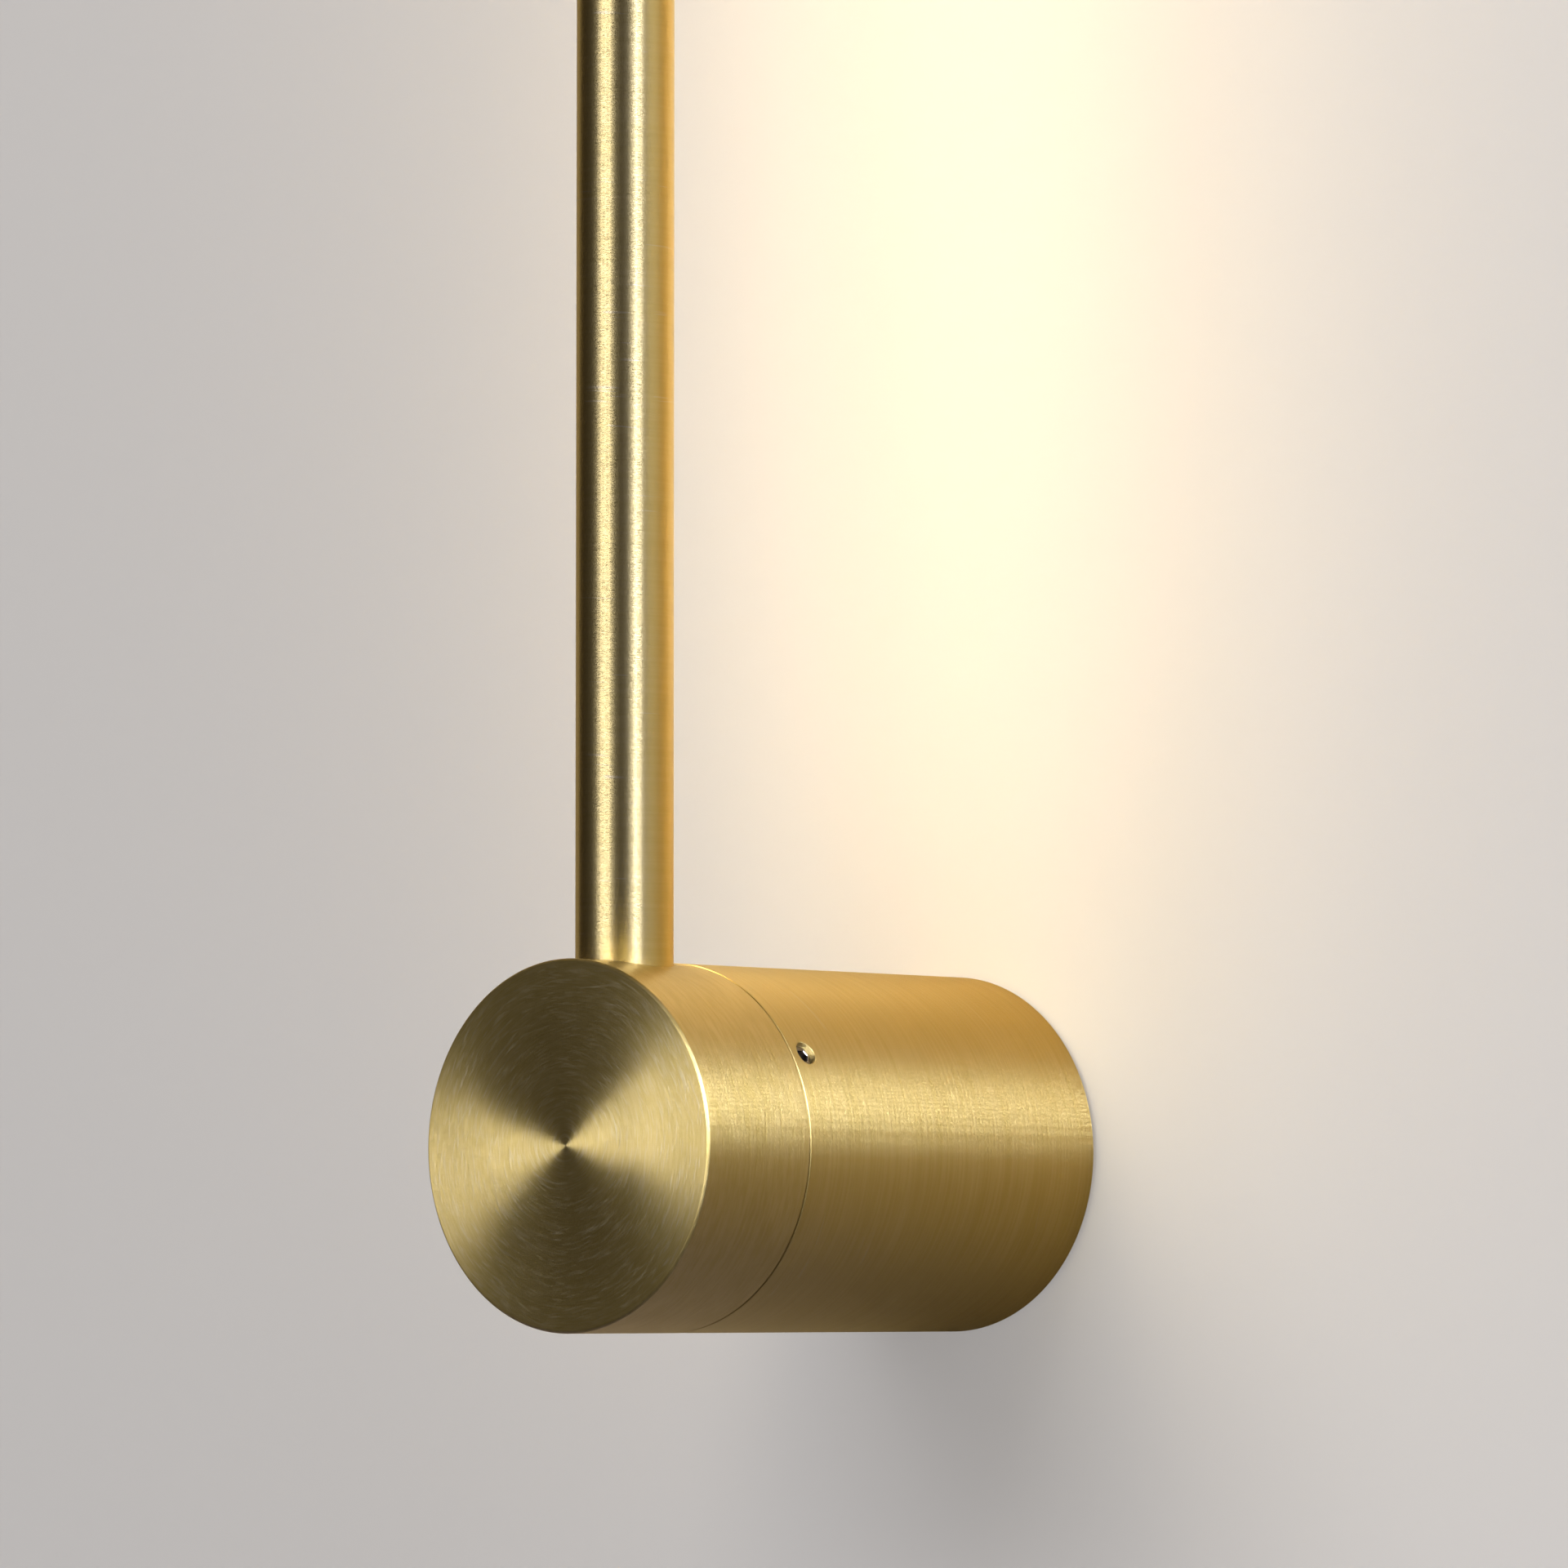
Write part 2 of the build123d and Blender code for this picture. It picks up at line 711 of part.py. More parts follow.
with BuildPart() as plate_posts:
    with BuildSketch(facing_out(plate_thickness)):
        with PolarLocations(post_radius, 2, start_angle=post_angles[0]):
            RegularPolygon(post_across_flats / 2, 6, major_radius=False)
    extrude(amount=ring_back - plate_thickness)
    with BuildSketch(facing_out(behind_plate_gap)):
        with PolarLocations(post_radius, 2, start_angle=post_angles[0]):
            Circle(m3 / 2)
    extrude(amount=plate_thickness)
    with Locations(*around_axis(post_radius, post_angles, ring_back)):
        Hole(m3 / 2 + screw_fit, depth=post_thread_depth)
plate_posts.part.label = "plate_posts"
export_step(plate_posts.part, "parts/plate_posts.step")

barrel_screw_list = [
    flush_screw(p, m3, barrel_screw_length, flush_head)
    for p in around_axis(post_radius, post_angles, ring_front)
]
with BuildPart() as barrel_screws:
    add(barrel_screw_list)
barrel_screws.part.label = "barrel_screws"
export_step(barrel_screws.part, "parts/barrel_screws.step")

# a rubber bush that the supply cable comes through
with BuildPart() as cable_grommet:
    with BuildSketch(facing_out(behind_plate_gap)):
        with Locations((0, -cable_drop)):
            Circle(cable_hole / 2 - screw_fit)
            Circle(cable_bore / 2, mode=Mode.SUBTRACT)
    extrude(amount=plate_thickness)
    with BuildSketch(facing_out(plate_thickness)):
        with Locations((0, -cable_drop)):
            Circle(cable_hole / 2 + grommet_flange)
            Circle(cable_bore / 2, mode=Mode.SUBTRACT)
    extrude(amount=grommet_flange)
    chamfer(cable_grommet.edges().filter_by(GeomType.CIRCLE).group_by(Axis.Y)[0], grommet_chamfer)
cable_grommet.part.label = "cable_grommet"
export_step(cable_grommet.part, "parts/cable_grommet.step")

# ---------------------------------------------------------------- driver on its shelf

# a bent sheet: a foot on the wall plate and a shelf that runs out under the driver
with BuildPart() as driver_bracket:
    with BuildSketch(Plane.YZ.offset(-shelf_width / 2)):
        with BuildLine():
            Polyline(
                (-plate_thickness, shelf_top - shelf_thickness),
                (-shelf_front, shelf_top - shelf_thickness),
                (-shelf_front, shelf_top),
                (-plate_thickness - shelf_thickness, shelf_top),
                (-plate_thickness - shelf_thickness, shelf_top + foot_rise),
                (-plate_thickness, shelf_top + foot_rise),
                close=True,
            )
        make_face()
    extrude(amount=shelf_width)
    bend = driver_bracket.edges().filter_by(Axis.X).filter_by(
        lambda e: e.center().Z < shelf_top + shelf_thickness and e.center().Y > -2 * plate_thickness
    )
    fillet(bend.sort_by(Axis.Z)[0], shelf_thickness + bend_radius)
    fillet(bend.sort_by(Axis.Z)[-1], bend_radius)
    with Locations(*on_plane(facing_out(plate_thickness + shelf_thickness), bracket_screw_points)):
        Hole(m3 / 2 + loose_fit, depth=shelf_thickness)
    with Locations(*[(0, -reach, shelf_top) for reach in ear_screw_reaches]):
        Hole(m25 / 2 + screw_fit, depth=shelf_thickness)
driver_bracket.part.label = "driver_bracket"
export_step(driver_bracket.part, "parts/driver_bracket.step")

bracket_screw_list = [
    pan_screw(p, m3, shelf_thickness + plate_thickness - screw_end_gap, m3_head)
    for p in on_plane(facing_out(plate_thickness + shelf_thickness), bracket_screw_points)
]
with BuildPart() as bracket_screws:
    add(bracket_screw_list)
bracket_screws.part.label = "bracket_screws"
export_step(bracket_screws.part, "parts/bracket_screws.step")

driver_floor = Plane(origin=(0, -driver_middle, shelf_top), x_dir=(1, 0, 0), z_dir=(0, 0, 1))
driver_rim = driver_floor.offset(driver_height - driver_wall)
board_plane = driver_floor.offset(driver_wall + board_standoff)
board_top = board_plane.offset(board_thickness)

with BuildPart() as driver_case:
    with BuildSketch(driver_floor):
        RectangleRounded(driver_width, driver_length, driver_corner)
    extrude(amount=driver_height - driver_wall)
    with BuildSketch(driver_rim):
        RectangleRounded(driver_inside_width, driver_inside_length, driver_inside_corner)
    extrude(amount=-(driver_height - 2 * driver_wall), mode=Mode.SUBTRACT)
    with BuildSketch(driver_floor.offset(driver_wall)):
        with GridLocations(standoff_width, standoff_length, 2, 2):
            Circle(standoff_radius)
    extrude(amount=board_standoff)
    with BuildSketch(driver_floor):
        for end in (-1, 1):
            with Locations((0, end * (driver_length / 2 + ear_length / 2 - ear_overlap))):
                RectangleRounded(ear_width, ear_length + 2 * ear_overlap, ear_corner)
    extrude(amount=ear_thickness)
    with Locations(*[(0, -reach, shelf_top + ear_thickness) for reach in ear_screw_reaches]):
        Hole(m25 / 2 + loose_fit, depth=ear_thickness)
    with Locations(*on_plane(facing_out(driver_front), output_points)):
        Hole(low_voltage_lead / 2 + through_fit, depth=driver_wall)
driver_case.part.label = "driver_case"
export_step(driver_case.part, "parts/driver_case.step")

with BuildPart() as driver_lid:
    with BuildSketch(driver_rim):
        RectangleRounded(driver_width, driver_length, driver_corner)
    extrude(amount=driver_wall)
    fillet(driver_lid.edges().group_by(Axis.Z)[-1], lid_fillet)
    with BuildSketch(driver_rim):
        RectangleRounded(lip_width, lip_length, lid_lip_corner)
        Rectangle(lip_width - 2 * lid_lip_thickness, lip_length - 2 * lid_lip_thickness, mode=Mode.SUBTRACT)
    extrude(amount=-lid_lip_depth)
    with Locations(*[(x, -input_reach, driver_top) for x in (-input_spread, input_spread)]):
        Hole(mains_lead / 2 + through_fit, depth=driver_wall)
driver_lid.part.label = "driver_lid"
export_step(driver_lid.part, "parts/driver_lid.step")

with BuildPart() as driver_board:
    with BuildSketch(board_plane):
        RectangleRounded(
            driver_inside_width - 2 * board_gap,
            driver_inside_length - 2 * board_gap,
            driver_corner / 2,
        )
    extrude(amount=board_thickness)
driver_board.part.label = "driver_board"
export_step(driver_board.part, "parts/driver_board.step")

# the transformer on its core, two capacitors, a fuse and the switching chip
with BuildPart() as board_parts:
    with BuildSketch(board_top):
        with Locations(transformer_place):
            Rectangle(transformer_size[0], transformer_size[1])
        with Locations(core_place):
            Rectangle(*core_size)
    extrude(amount=transformer_size[2])
    with BuildSketch(board_top):
        for x, y, diameter in (large_capacitor, small_capacitor):
            with Locations((x, y)):
                Circle(diameter / 2)
    extrude(amount=capacitor_height)
    with BuildSketch(board_top):
        with Locations((chip_x, chip_end_gap - driver_inside_length / 2)):
            Rectangle(chip_size[0], chip_size[1])
        with Locations((fuse_x, driver_inside_length / 2 - chip_end_gap)):
            Rectangle(*fuse_size)
    extrude(amount=chip_size[2])
    fillet(board_parts.edges().filter_by(GeomType.CIRCLE).group_by(Axis.Z)[-1], capacitor_fillet)
board_parts.part.label = "board_parts"
export_step(board_parts.part, "parts/board_parts.step")

driver_screw_list = [
    pan_screw(
        Location((0, -reach, shelf_top + ear_thickness)),
        m25,
        ear_thickness + shelf_thickness + driver_screw_past,
        m25_head,
    )
    for reach in ear_screw_reaches
]
with BuildPart() as driver_screws:
    add(driver_screw_list)
driver_screws.part.label = "driver_screws"
export_step(driver_screws.part, "parts/driver_screws.step")

# ---------------------------------------------------------------- mains terminals

pole_xs = (-pole_pitch, 0.0, pole_pitch)
block_middle = (block_bottom + block_top) / 2
clamp_heights = (block_middle - clamp_spacing / 2, block_middle + clamp_spacing / 2)

# three poles side by side with a waist between them
with BuildPart() as terminal_block:
    with BuildSketch(facing_out(plate_thickness)):
        with Locations((0, block_middle)):
            Rectangle(block_width, block_height - 2 * pole_shoulder)
            with GridLocations(pole_pitch, 0, 3, 1):
                RectangleRounded(pole_pitch - pole_waist, block_height, pole_corner)
    extrude(amount=block_depth)
    with Locations(*[Location((x, -wire_reach, block_top)) for x in pole_xs]):
        Hole(wire_entry / 2, depth=block_height)
    with Locations(*on_plane(facing_out(block_front), [(x, z) for x in pole_xs for z in clamp_heights])):
        Hole(clamp_screw_diameter / 2 + through_fit, depth=block_front - wire_reach)
    with Locations(*on_plane(facing_out(block_front), block_screw_points)):
        Hole(m2 / 2 + through_fit, depth=block_depth)
terminal_block.part.label = "terminal_block"
export_step(terminal_block.part, "parts/terminal_block.step")

clamp_screw_length = block_front - clamp_screw_sink - wire_reach - mains_lead / 2 - through_fit
with BuildPart() as terminal_screws:
    with BuildSketch(facing_out(block_front - clamp_screw_sink)):
        with Locations(*[(x, z) for x in pole_xs for z in clamp_heights]):
            Circle(clamp_screw_diameter / 2)
    extrude(amount=-clamp_screw_length)
    with BuildSketch(facing_out(block_front - clamp_screw_sink)):
        with Locations(*[(x, z) for x in pole_xs for z in clamp_heights]):
            Rectangle(clamp_screw_diameter * clamp_slot_share, clamp_slot_width)
    extrude(amount=-clamp_slot_depth, mode=Mode.SUBTRACT)
terminal_screws.part.label = "terminal_screws"
export_step(terminal_screws.part, "parts/terminal_screws.step")

block_screw_list = [
    pan_screw(p, m2, block_depth + plate_thickness - screw_end_gap, m2_head)
    for p in on_plane(facing_out(block_front), block_screw_points)
]
with BuildPart() as block_screws:
    add(block_screw_list)
block_screws.part.label = "block_screws"
export_step(block_screws.part, "parts/block_screws.step")

# a ring tag crimped on the earth lead, under its screw on the wall plate
tag_top = plate_thickness + tag_thickness
with BuildPart() as earth_tag:
    with BuildSketch(facing_out(plate_thickness)):
        with Locations(earth_point):
            Circle(tag_diameter / 2)
        with Locations((earth_point[0], earth_point[1] + crimp_rise)):
            Rectangle(tag_neck_width, 2 * crimp_rise - tag_neck_short)
        with Locations(earth_point):
            Circle(m3 / 2 + through_fit, mode=Mode.SUBTRACT)
    extrude(amount=tag_thickness)
    crimp_end = Plane(origin=(earth_point[0], -crimp_reach, crimp_bottom), z_dir=(0, 0, 1), x_dir=(1, 0, 0))
    with BuildSketch(crimp_end):
        Circle(crimp_diameter / 2)
    extrude(amount=crimp_length)
    with BuildSketch(crimp_end.offset(crimp_length)):
        Circle(mains_lead / 2 + screw_fit)
    extrude(amount=-crimp_wire_in, mode=Mode.SUBTRACT)
earth_tag.part.label = "earth_tag"
export_step(earth_tag.part, "parts/earth_tag.step")

earth_screw_shape = pan_screw(
    on_plane(facing_out(tag_top), [earth_point])[0],
    m3,
    tag_top - screw_end_gap,
    m3_head,
)
with BuildPart() as earth_screw:
    add(earth_screw_shape)
earth_screw.part.label = "earth_screw"
export_step(earth_screw.part, "parts/earth_screw.step")

# ---------------------------------------------------------------- leads inside the barrel

lead_end = block_top - wire_grip
for lead_name, side, pole_x in (("live_lead", 1, pole_pitch), ("neutral_lead", -1, 0.0)):
    mains_points = [
        (pole_x, -wire_reach, lead_end),
        (pole_x, -wire_reach, mains_crest),
        (side * input_spread, -input_reach, mains_crest),
        (side * input_spread, -input_reach, board_top.origin.Z),
    ]
    mains_lead_shape = wire(mains_points, [mains_bend, mains_bend], mains_lead)
    with BuildPart() as mains_wire:
        add(mains_lead_shape)
    mains_wire.part.label = lead_name
    export_step(mains_wire.part, f"parts/{lead_name}.step")

earth_points = [
    (-pole_pitch, -wire_reach, lead_end),
    (-pole_pitch, -wire_reach, earth_crest),
    (earth_point[0], -crimp_reach, earth_crest),
    (earth_point[0], -crimp_reach, crimp_bottom + crimp_length - crimp_wire_in),
]
earth_lead_shape = wire(earth_points, [earth_bend, earth_bend], mains_lead)
with BuildPart() as earth_lead:
    add(earth_lead_shape)
earth_lead.part.label = "earth_lead"
export_step(earth_lead.part, "parts/earth_lead.step")

for lead_name, side in (("driver_lead_plus", 1), ("driver_lead_minus", -1)):
    driver_points = [
        (side * output_spread, -output_start, board_top.origin.Z),
        (side * output_spread, -output_start, output_height),
        (side * output_spread, -output_knee, output_height),
        (side * lead_spread, -output_top, 0),
        (side * lead_spread, -socket_back, 0),
    ]
    driver_lead_shape = wire(driver_points, output_bends, low_voltage_lead)
    with BuildPart() as driver_lead:
        add(driver_lead_shape)
    driver_lead.part.label = lead_name
    export_step(driver_lead.part, f"parts/{lead_name}.step")
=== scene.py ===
"""A brushed brass tube wall light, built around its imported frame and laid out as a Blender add-on."""

import json
import math

import bmesh
import bpy
import numpy as np
from bpy.props import FloatProperty, FloatVectorProperty, IntProperty, PointerProperty
from bpy.types import Operator, Panel, PropertyGroup
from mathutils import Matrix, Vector

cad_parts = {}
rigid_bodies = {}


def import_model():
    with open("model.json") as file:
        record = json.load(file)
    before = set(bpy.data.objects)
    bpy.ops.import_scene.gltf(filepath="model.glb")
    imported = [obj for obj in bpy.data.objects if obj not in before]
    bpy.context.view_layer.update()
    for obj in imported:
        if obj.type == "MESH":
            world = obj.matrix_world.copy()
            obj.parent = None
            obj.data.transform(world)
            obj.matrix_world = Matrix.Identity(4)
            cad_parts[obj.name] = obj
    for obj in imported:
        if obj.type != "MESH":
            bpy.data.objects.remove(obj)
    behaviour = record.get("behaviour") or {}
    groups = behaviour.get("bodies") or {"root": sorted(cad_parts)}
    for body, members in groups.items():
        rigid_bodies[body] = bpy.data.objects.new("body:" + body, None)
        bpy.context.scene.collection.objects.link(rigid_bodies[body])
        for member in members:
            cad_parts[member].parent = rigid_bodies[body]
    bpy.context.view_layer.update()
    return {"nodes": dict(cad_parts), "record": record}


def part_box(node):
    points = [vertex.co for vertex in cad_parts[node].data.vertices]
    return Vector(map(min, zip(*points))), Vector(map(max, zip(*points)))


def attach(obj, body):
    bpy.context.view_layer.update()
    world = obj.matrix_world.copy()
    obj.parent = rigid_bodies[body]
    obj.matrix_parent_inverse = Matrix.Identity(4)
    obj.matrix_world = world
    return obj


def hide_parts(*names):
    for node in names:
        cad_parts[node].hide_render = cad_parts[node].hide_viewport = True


bl_info = {
    "name": "Tube wall light",
    "version": (1, 0, 0),
    "blender": (4, 5, 0),
    "location": "3D View > Sidebar > Wall light",
    "description": "Makes the visible pieces, finishes and stage of a brushed brass tube wall light",
    "category": "Add Mesh",
}

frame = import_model()

MM = 0.001
TINY = 1e-7
WHITE = Vector((1.0, 1.0, 1.0))
UP = math.pi / 2
LOCK_ANGLES = [math.radians(degrees) for degrees in (30, 150, 270)]
OFF_SIDE = 1.0  # stands for y in rows that aren't on a body's round side, so that no window holds them

# ---------------------------------------------------------------- places read from the frame

BARREL_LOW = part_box("barrel")[0]
PUCK_LOW, PUCK_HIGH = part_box("head_puck")
TUBE_LOW, TUBE_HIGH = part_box("light_tube")
COVER_LOW, COVER_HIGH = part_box("diffuser")
CAP_LOW, CAP_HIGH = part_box("tube_cap")

BODY_RADIUS = (PUCK_HIGH.x - PUCK_LOW.x) / 2
TUBE_RADIUS = (TUBE_HIGH.x - TUBE_LOW.x) / 2
TUBE_Y = (TUBE_LOW.y + TUBE_HIGH.y) / 2


# ---------------------------------------------------------------- settings

class BodyShape(PropertyGroup):
    """Sizes of the barrel and of the puck in front of it."""

    radius: FloatProperty(
        name="Radius", description="Outer radius of barrel and puck", default=BODY_RADIUS, unit="LENGTH"
    )
    wall: FloatProperty(
        name="Wall", description="Thickness of the barrel's wall", default=3.0 * MM, unit="LENGTH"
    )
    front_chamfer: FloatProperty(
        name="Front chamfer", description="Chamfer round the puck's face", default=0.38 * MM, unit="LENGTH"
    )
    seam_chamfer: FloatProperty(
        name="Seam chamfer", description="Chamfer on both sides of the seam", default=0.10 * MM, unit="LENGTH"
    )
    rim_chamfer: FloatProperty(
        name="Rim chamfer", description="Chamfer where the barrel meets the wall", default=0.5 * MM,
        unit="LENGTH",
    )
    edge_round: FloatProperty(
        name="Edge rounding", description="Polished-over radius of each edge", default=0.10 * MM,
        unit="LENGTH",
    )
    front_round: FloatProperty(
        name="Front rounding", description="Polished-over radius of the puck's edges", default=0.3 * MM,
        unit="LENGTH",
    )
    lock_hole: FloatProperty(
        name="Lock hole", description="Radius of each lock screw's hole", default=2.02 * MM, unit="LENGTH"
    )
    lock_behind_seam: FloatProperty(
        name="Lock setback", description="From the puck's back to the lock screws", default=3.9 * MM,
        unit="LENGTH",
    )
    columns: IntProperty(
        name="Columns", description="Faces round the barrel and the puck", default=360, min=72, max=720
    )


class TubeShape(PropertyGroup):
    """Sizes of the light tube, its slot and its opal cover."""

    radius: FloatProperty(
        name="Radius", description="Outer radius of the tube", default=TUBE_RADIUS, unit="LENGTH"
    )
    wall: FloatProperty(
        name="Wall", description="Thickness of the tube's wall", default=1.2 * MM, unit="LENGTH"
    )
    slot_width: FloatProperty(
        name="Slot width", description="Width of the slot in the tube's back", default=9.0 * MM, unit="LENGTH"
    )
    cover_gap: FloatProperty(
        name="Cover gap", description="Gap between the opal cover and the slot", default=0.15 * MM,
        unit="LENGTH",
    )
    cover_recess: FloatProperty(
        name="Cover recess", description="How deep the opal cover sits below the tube", default=0.3 * MM,
        unit="LENGTH",
    )
    cap_chamfer: FloatProperty(
        name="Cap chamfer", description="Chamfer round the top cap", default=0.4 * MM, unit="LENGTH"
    )


class BrassFinish(PropertyGroup):
    """Colour and brushing of the brass."""

    colour: FloatVectorProperty(
        name="Brass", description="Reflected colour of the brass", subtype="COLOR", size=3,
        default=(0.84, 0.64, 0.225), min=0.0, max=1.0,
    )
    roughness: FloatProperty(
        name="Roughness", description="Mean roughness of barrel and puck", default=0.285, min=0.0, max=1.0,
        subtype="FACTOR",
    )
    tube_roughness: FloatProperty(
        name="Tube roughness", description="Mean roughness of the tube", default=0.28, min=0.0, max=1.0,
        subtype="FACTOR",
    )
    spread: FloatProperty(
        name="Spread", description="Slope of the brushing on barrel and puck, across its grooves",
        default=0.75, min=0.0, max=1.0, subtype="FACTOR",
    )
    tube_spread: FloatProperty(
        name="Tube spread", description="Slope of the brushing on the tube, across its grooves", default=0.50,
        min=0.0, max=1.0, subtype="FACTOR",
    )
    scratch_depth: FloatProperty(
        name="Scratch depth", description="Depth of the few crossing scratches", default=0.004 * MM,
        unit="LENGTH",
    )


class LightSettings(PropertyGroup):
    """The lamp's own light and the studio's."""

    lamp_strength: FloatProperty(
        name="Lamp", description="Brightness of the lit opal cover", default=25.0, min=0.0
    )
    lamp_colour: FloatVectorProperty(
        name="Lamp colour", description="Colour of the lamp's light", subtype="COLOR", size=3,
        default=(1.0, 0.77, 0.42), min=0.0, max=1.0,
    )
    front_power: FloatProperty(
        name="Front box", description="Power of the front softboxes", default=15.0, unit="POWER"
    )
    side_power: FloatProperty(
        name="Side box", description="Power of the side softboxes", default=26.0, unit="POWER"
    )
    wash_power: FloatProperty(
        name="Wash", description="Power of the light on matt things", default=28.0, unit="POWER"
    )
    sky_strength: FloatProperty(
        name="Room", description="Brightness of the room all round", default=0.024, min=0.0
    )


# ---------------------------------------------------------------- surfaces from numpy grids

def cells(rows, columns):
    """The four corners of every cell in a grid of points, as numbers of the points row by row."""
    index = np.arange(rows * columns).reshape(rows, columns)
    corners = (index[:-1, :-1], index[:-1, 1:], index[1:, 1:], index[1:, :-1])
    return np.stack([c.ravel() for c in corners], axis=1)


class Surface:
    """Grids of points that become one closed mesh where their borders meet."""

    JOIN = 0.5e-6
    SHARP = math.radians(25)

    def __init__(self):
        self.points, self.faces, self.count = [], [], 0

    def grid(self, points, skip=None):
        """Adds points of shape (rows, columns, 3); every cell of four is a face, apart from skipped ones."""
        rows, columns = points.shape[:2]
        quads = cells(rows, columns) + self.count
        self.points.append(points.reshape(-1, 3))
        self.faces.append(quads if skip is None else quads[~skip.ravel()])
        self.count += rows * columns

    def mesh(self, name):
        """The joined mesh: smooth apart from its sharp edges, and with its faces outwards."""
        data = bpy.data.meshes.new(name)
        data.from_pydata(np.concatenate(self.points).tolist(), [], np.concatenate(self.faces).tolist())
        work = bmesh.new()
        work.from_mesh(data)
        bmesh.ops.remove_doubles(work, verts=work.verts, dist=self.JOIN)
        bmesh.ops.dissolve_degenerate(work, edges=work.edges, dist=self.JOIN)
        bmesh.ops.delete(work, geom=[v for v in work.verts if not v.link_faces], context="VERTS")
        bmesh.ops.recalc_face_normals(work, faces=work.faces)
        loose = sum(not edge.is_manifold for edge in work.edges)
        work.to_mesh(data)
        work.free()
        if loose:
            raise RuntimeError(f"{name} isn't closed: {loose} edges")
        data.shade_smooth()
        data.set_sharp_from_angle(angle=self.SHARP)
        return data


def rounded(corners, radius, count=5, hold=0.05 * MM):
    """An open profile with its inner corners turned to arcs. An arc touches both of its runs at
    radius / tan(half the angle between them) from the corner, at most 0.4 of either run, and a point just
    outside each end of the arc keeps a long run flat."""
    corners = [np.array(c, float) for c in corners]
    line = [corners[0]]
    for before, corner, after in zip(corners, corners[1:], corners[2:]):
        back, on = before - corner, after - corner
        back_length, on_length = np.linalg.norm(back), np.linalg.norm(on)
        back, on = back / back_length, on / on_length
        half = math.acos(np.clip(back @ on, -1, 1)) / 2
        reach = min(radius / math.tan(half), 0.4 * back_length, 0.4 * on_length)
        arc_radius = reach * math.tan(half)
        middle = corner + (back + on) / np.linalg.norm(back + on) * arc_radius / math.sin(half)
        start, end = corner + back * reach, corner + on * reach
        first, last = start - middle, end - middle
        sweep = math.pi - 2 * half
        share = np.linspace(0, 1, count + 1)[:, None]
        arc = (np.sin((1 - share) * sweep) * first + np.sin(share * sweep) * last) / math.sin(sweep)
        if back_length > 8 * hold:
            line.append(start + back * hold)
        line.extend(middle + arc)
        if on_length > 8 * hold:
            line.append(end + on * hold)
    line.append(corners[-1])
    return np.array(line)


def with_rows(profile, rows):
    """The profile with given second coordinates put into its longest run."""
    i = int(np.argmax(np.linalg.norm(np.diff(profile, axis=0), axis=1)))
    a, b = profile[i], profile[i + 1]
    rows = np.array(sorted(rows, reverse=bool(a[1] > b[1])))
    share = ((rows - a[1]) / (b[1] - a[1]))[:, None]
    return np.concatenate([profile[: i + 1], a + (b - a) * share, profile[i + 1:]])


def split(profile, most):
    """The profile with extra points, so that no run is longer than a given length."""
    line = [profile[:1]]
    for a, b in zip(profile, profile[1:]):
        count = max(1, math.ceil(np.linalg.norm(b - a) / most - 1e-6))
        line.append(a + (b - a) * np.arange(1, count + 1)[:, None] / count)
    return np.concatenate(line)


def turned(profile, angles):
    """A profile of (radius, y) turned about the lamp's axis: x = r cos t, z = r sin t."""
    r, y = profile[:, :1], profile[:, 1:]
    t = angles[None, :]
    return np.stack([r * np.cos(t), y + 0 * t, r * np.sin(t)], axis=-1)


def turned_up(profile, angles):
    """A profile of (radius, z) turned about the tube's axis: x = r sin t, y = tube y + r cos t."""
    r, z = profile[:, :1], profile[:, 1:]
    t = angles[None, :]
    return np.stack([r * np.sin(t), TUBE_Y + r * np.cos(t), z + 0 * t], axis=-1)


def arc_across(radius, angles):
    """Points of (x, y) on a circle about the tube's axis for angles from the wall side: x = r sin t and
    y = tube y + r cos t."""
    return np.stack([radius * np.sin(angles), TUBE_Y + radius * np.cos(angles)], axis=-1)


def upright(outline, heights):
    """An outline of (x, y) carried up along z: one row for each height."""
    flat = np.broadcast_to(outline, (len(heights), *outline.shape))
    z = np.broadcast_to(heights[:, None, None], (*flat.shape[:2], 1))
    return np.concatenate([flat, z], axis=-1)


def level(outlines, height):
    """Outlines of (x, y) side by side at one height, as the rows of an end face between them."""
    flat = np.stack(outlines)
    return np.concatenate([flat, np.full((*flat.shape[:2], 1), height)], axis=-1)


def steps(low, high, most):
    """Even steps from low to high, none longer than most."""
    return np.linspace(low, high, max(2, math.ceil((high - low) / most - 1e-6) + 1))


def axes_at(angle):
    """Unit vectors at an angle about the lamp's axis: outwards, across and along the axis."""
    out = np.array([math.cos(angle), 0, math.sin(angle)])
    across = np.array([-math.sin(angle), 0, math.cos(angle)])
    return out, across, np.array([0, 1, 0])


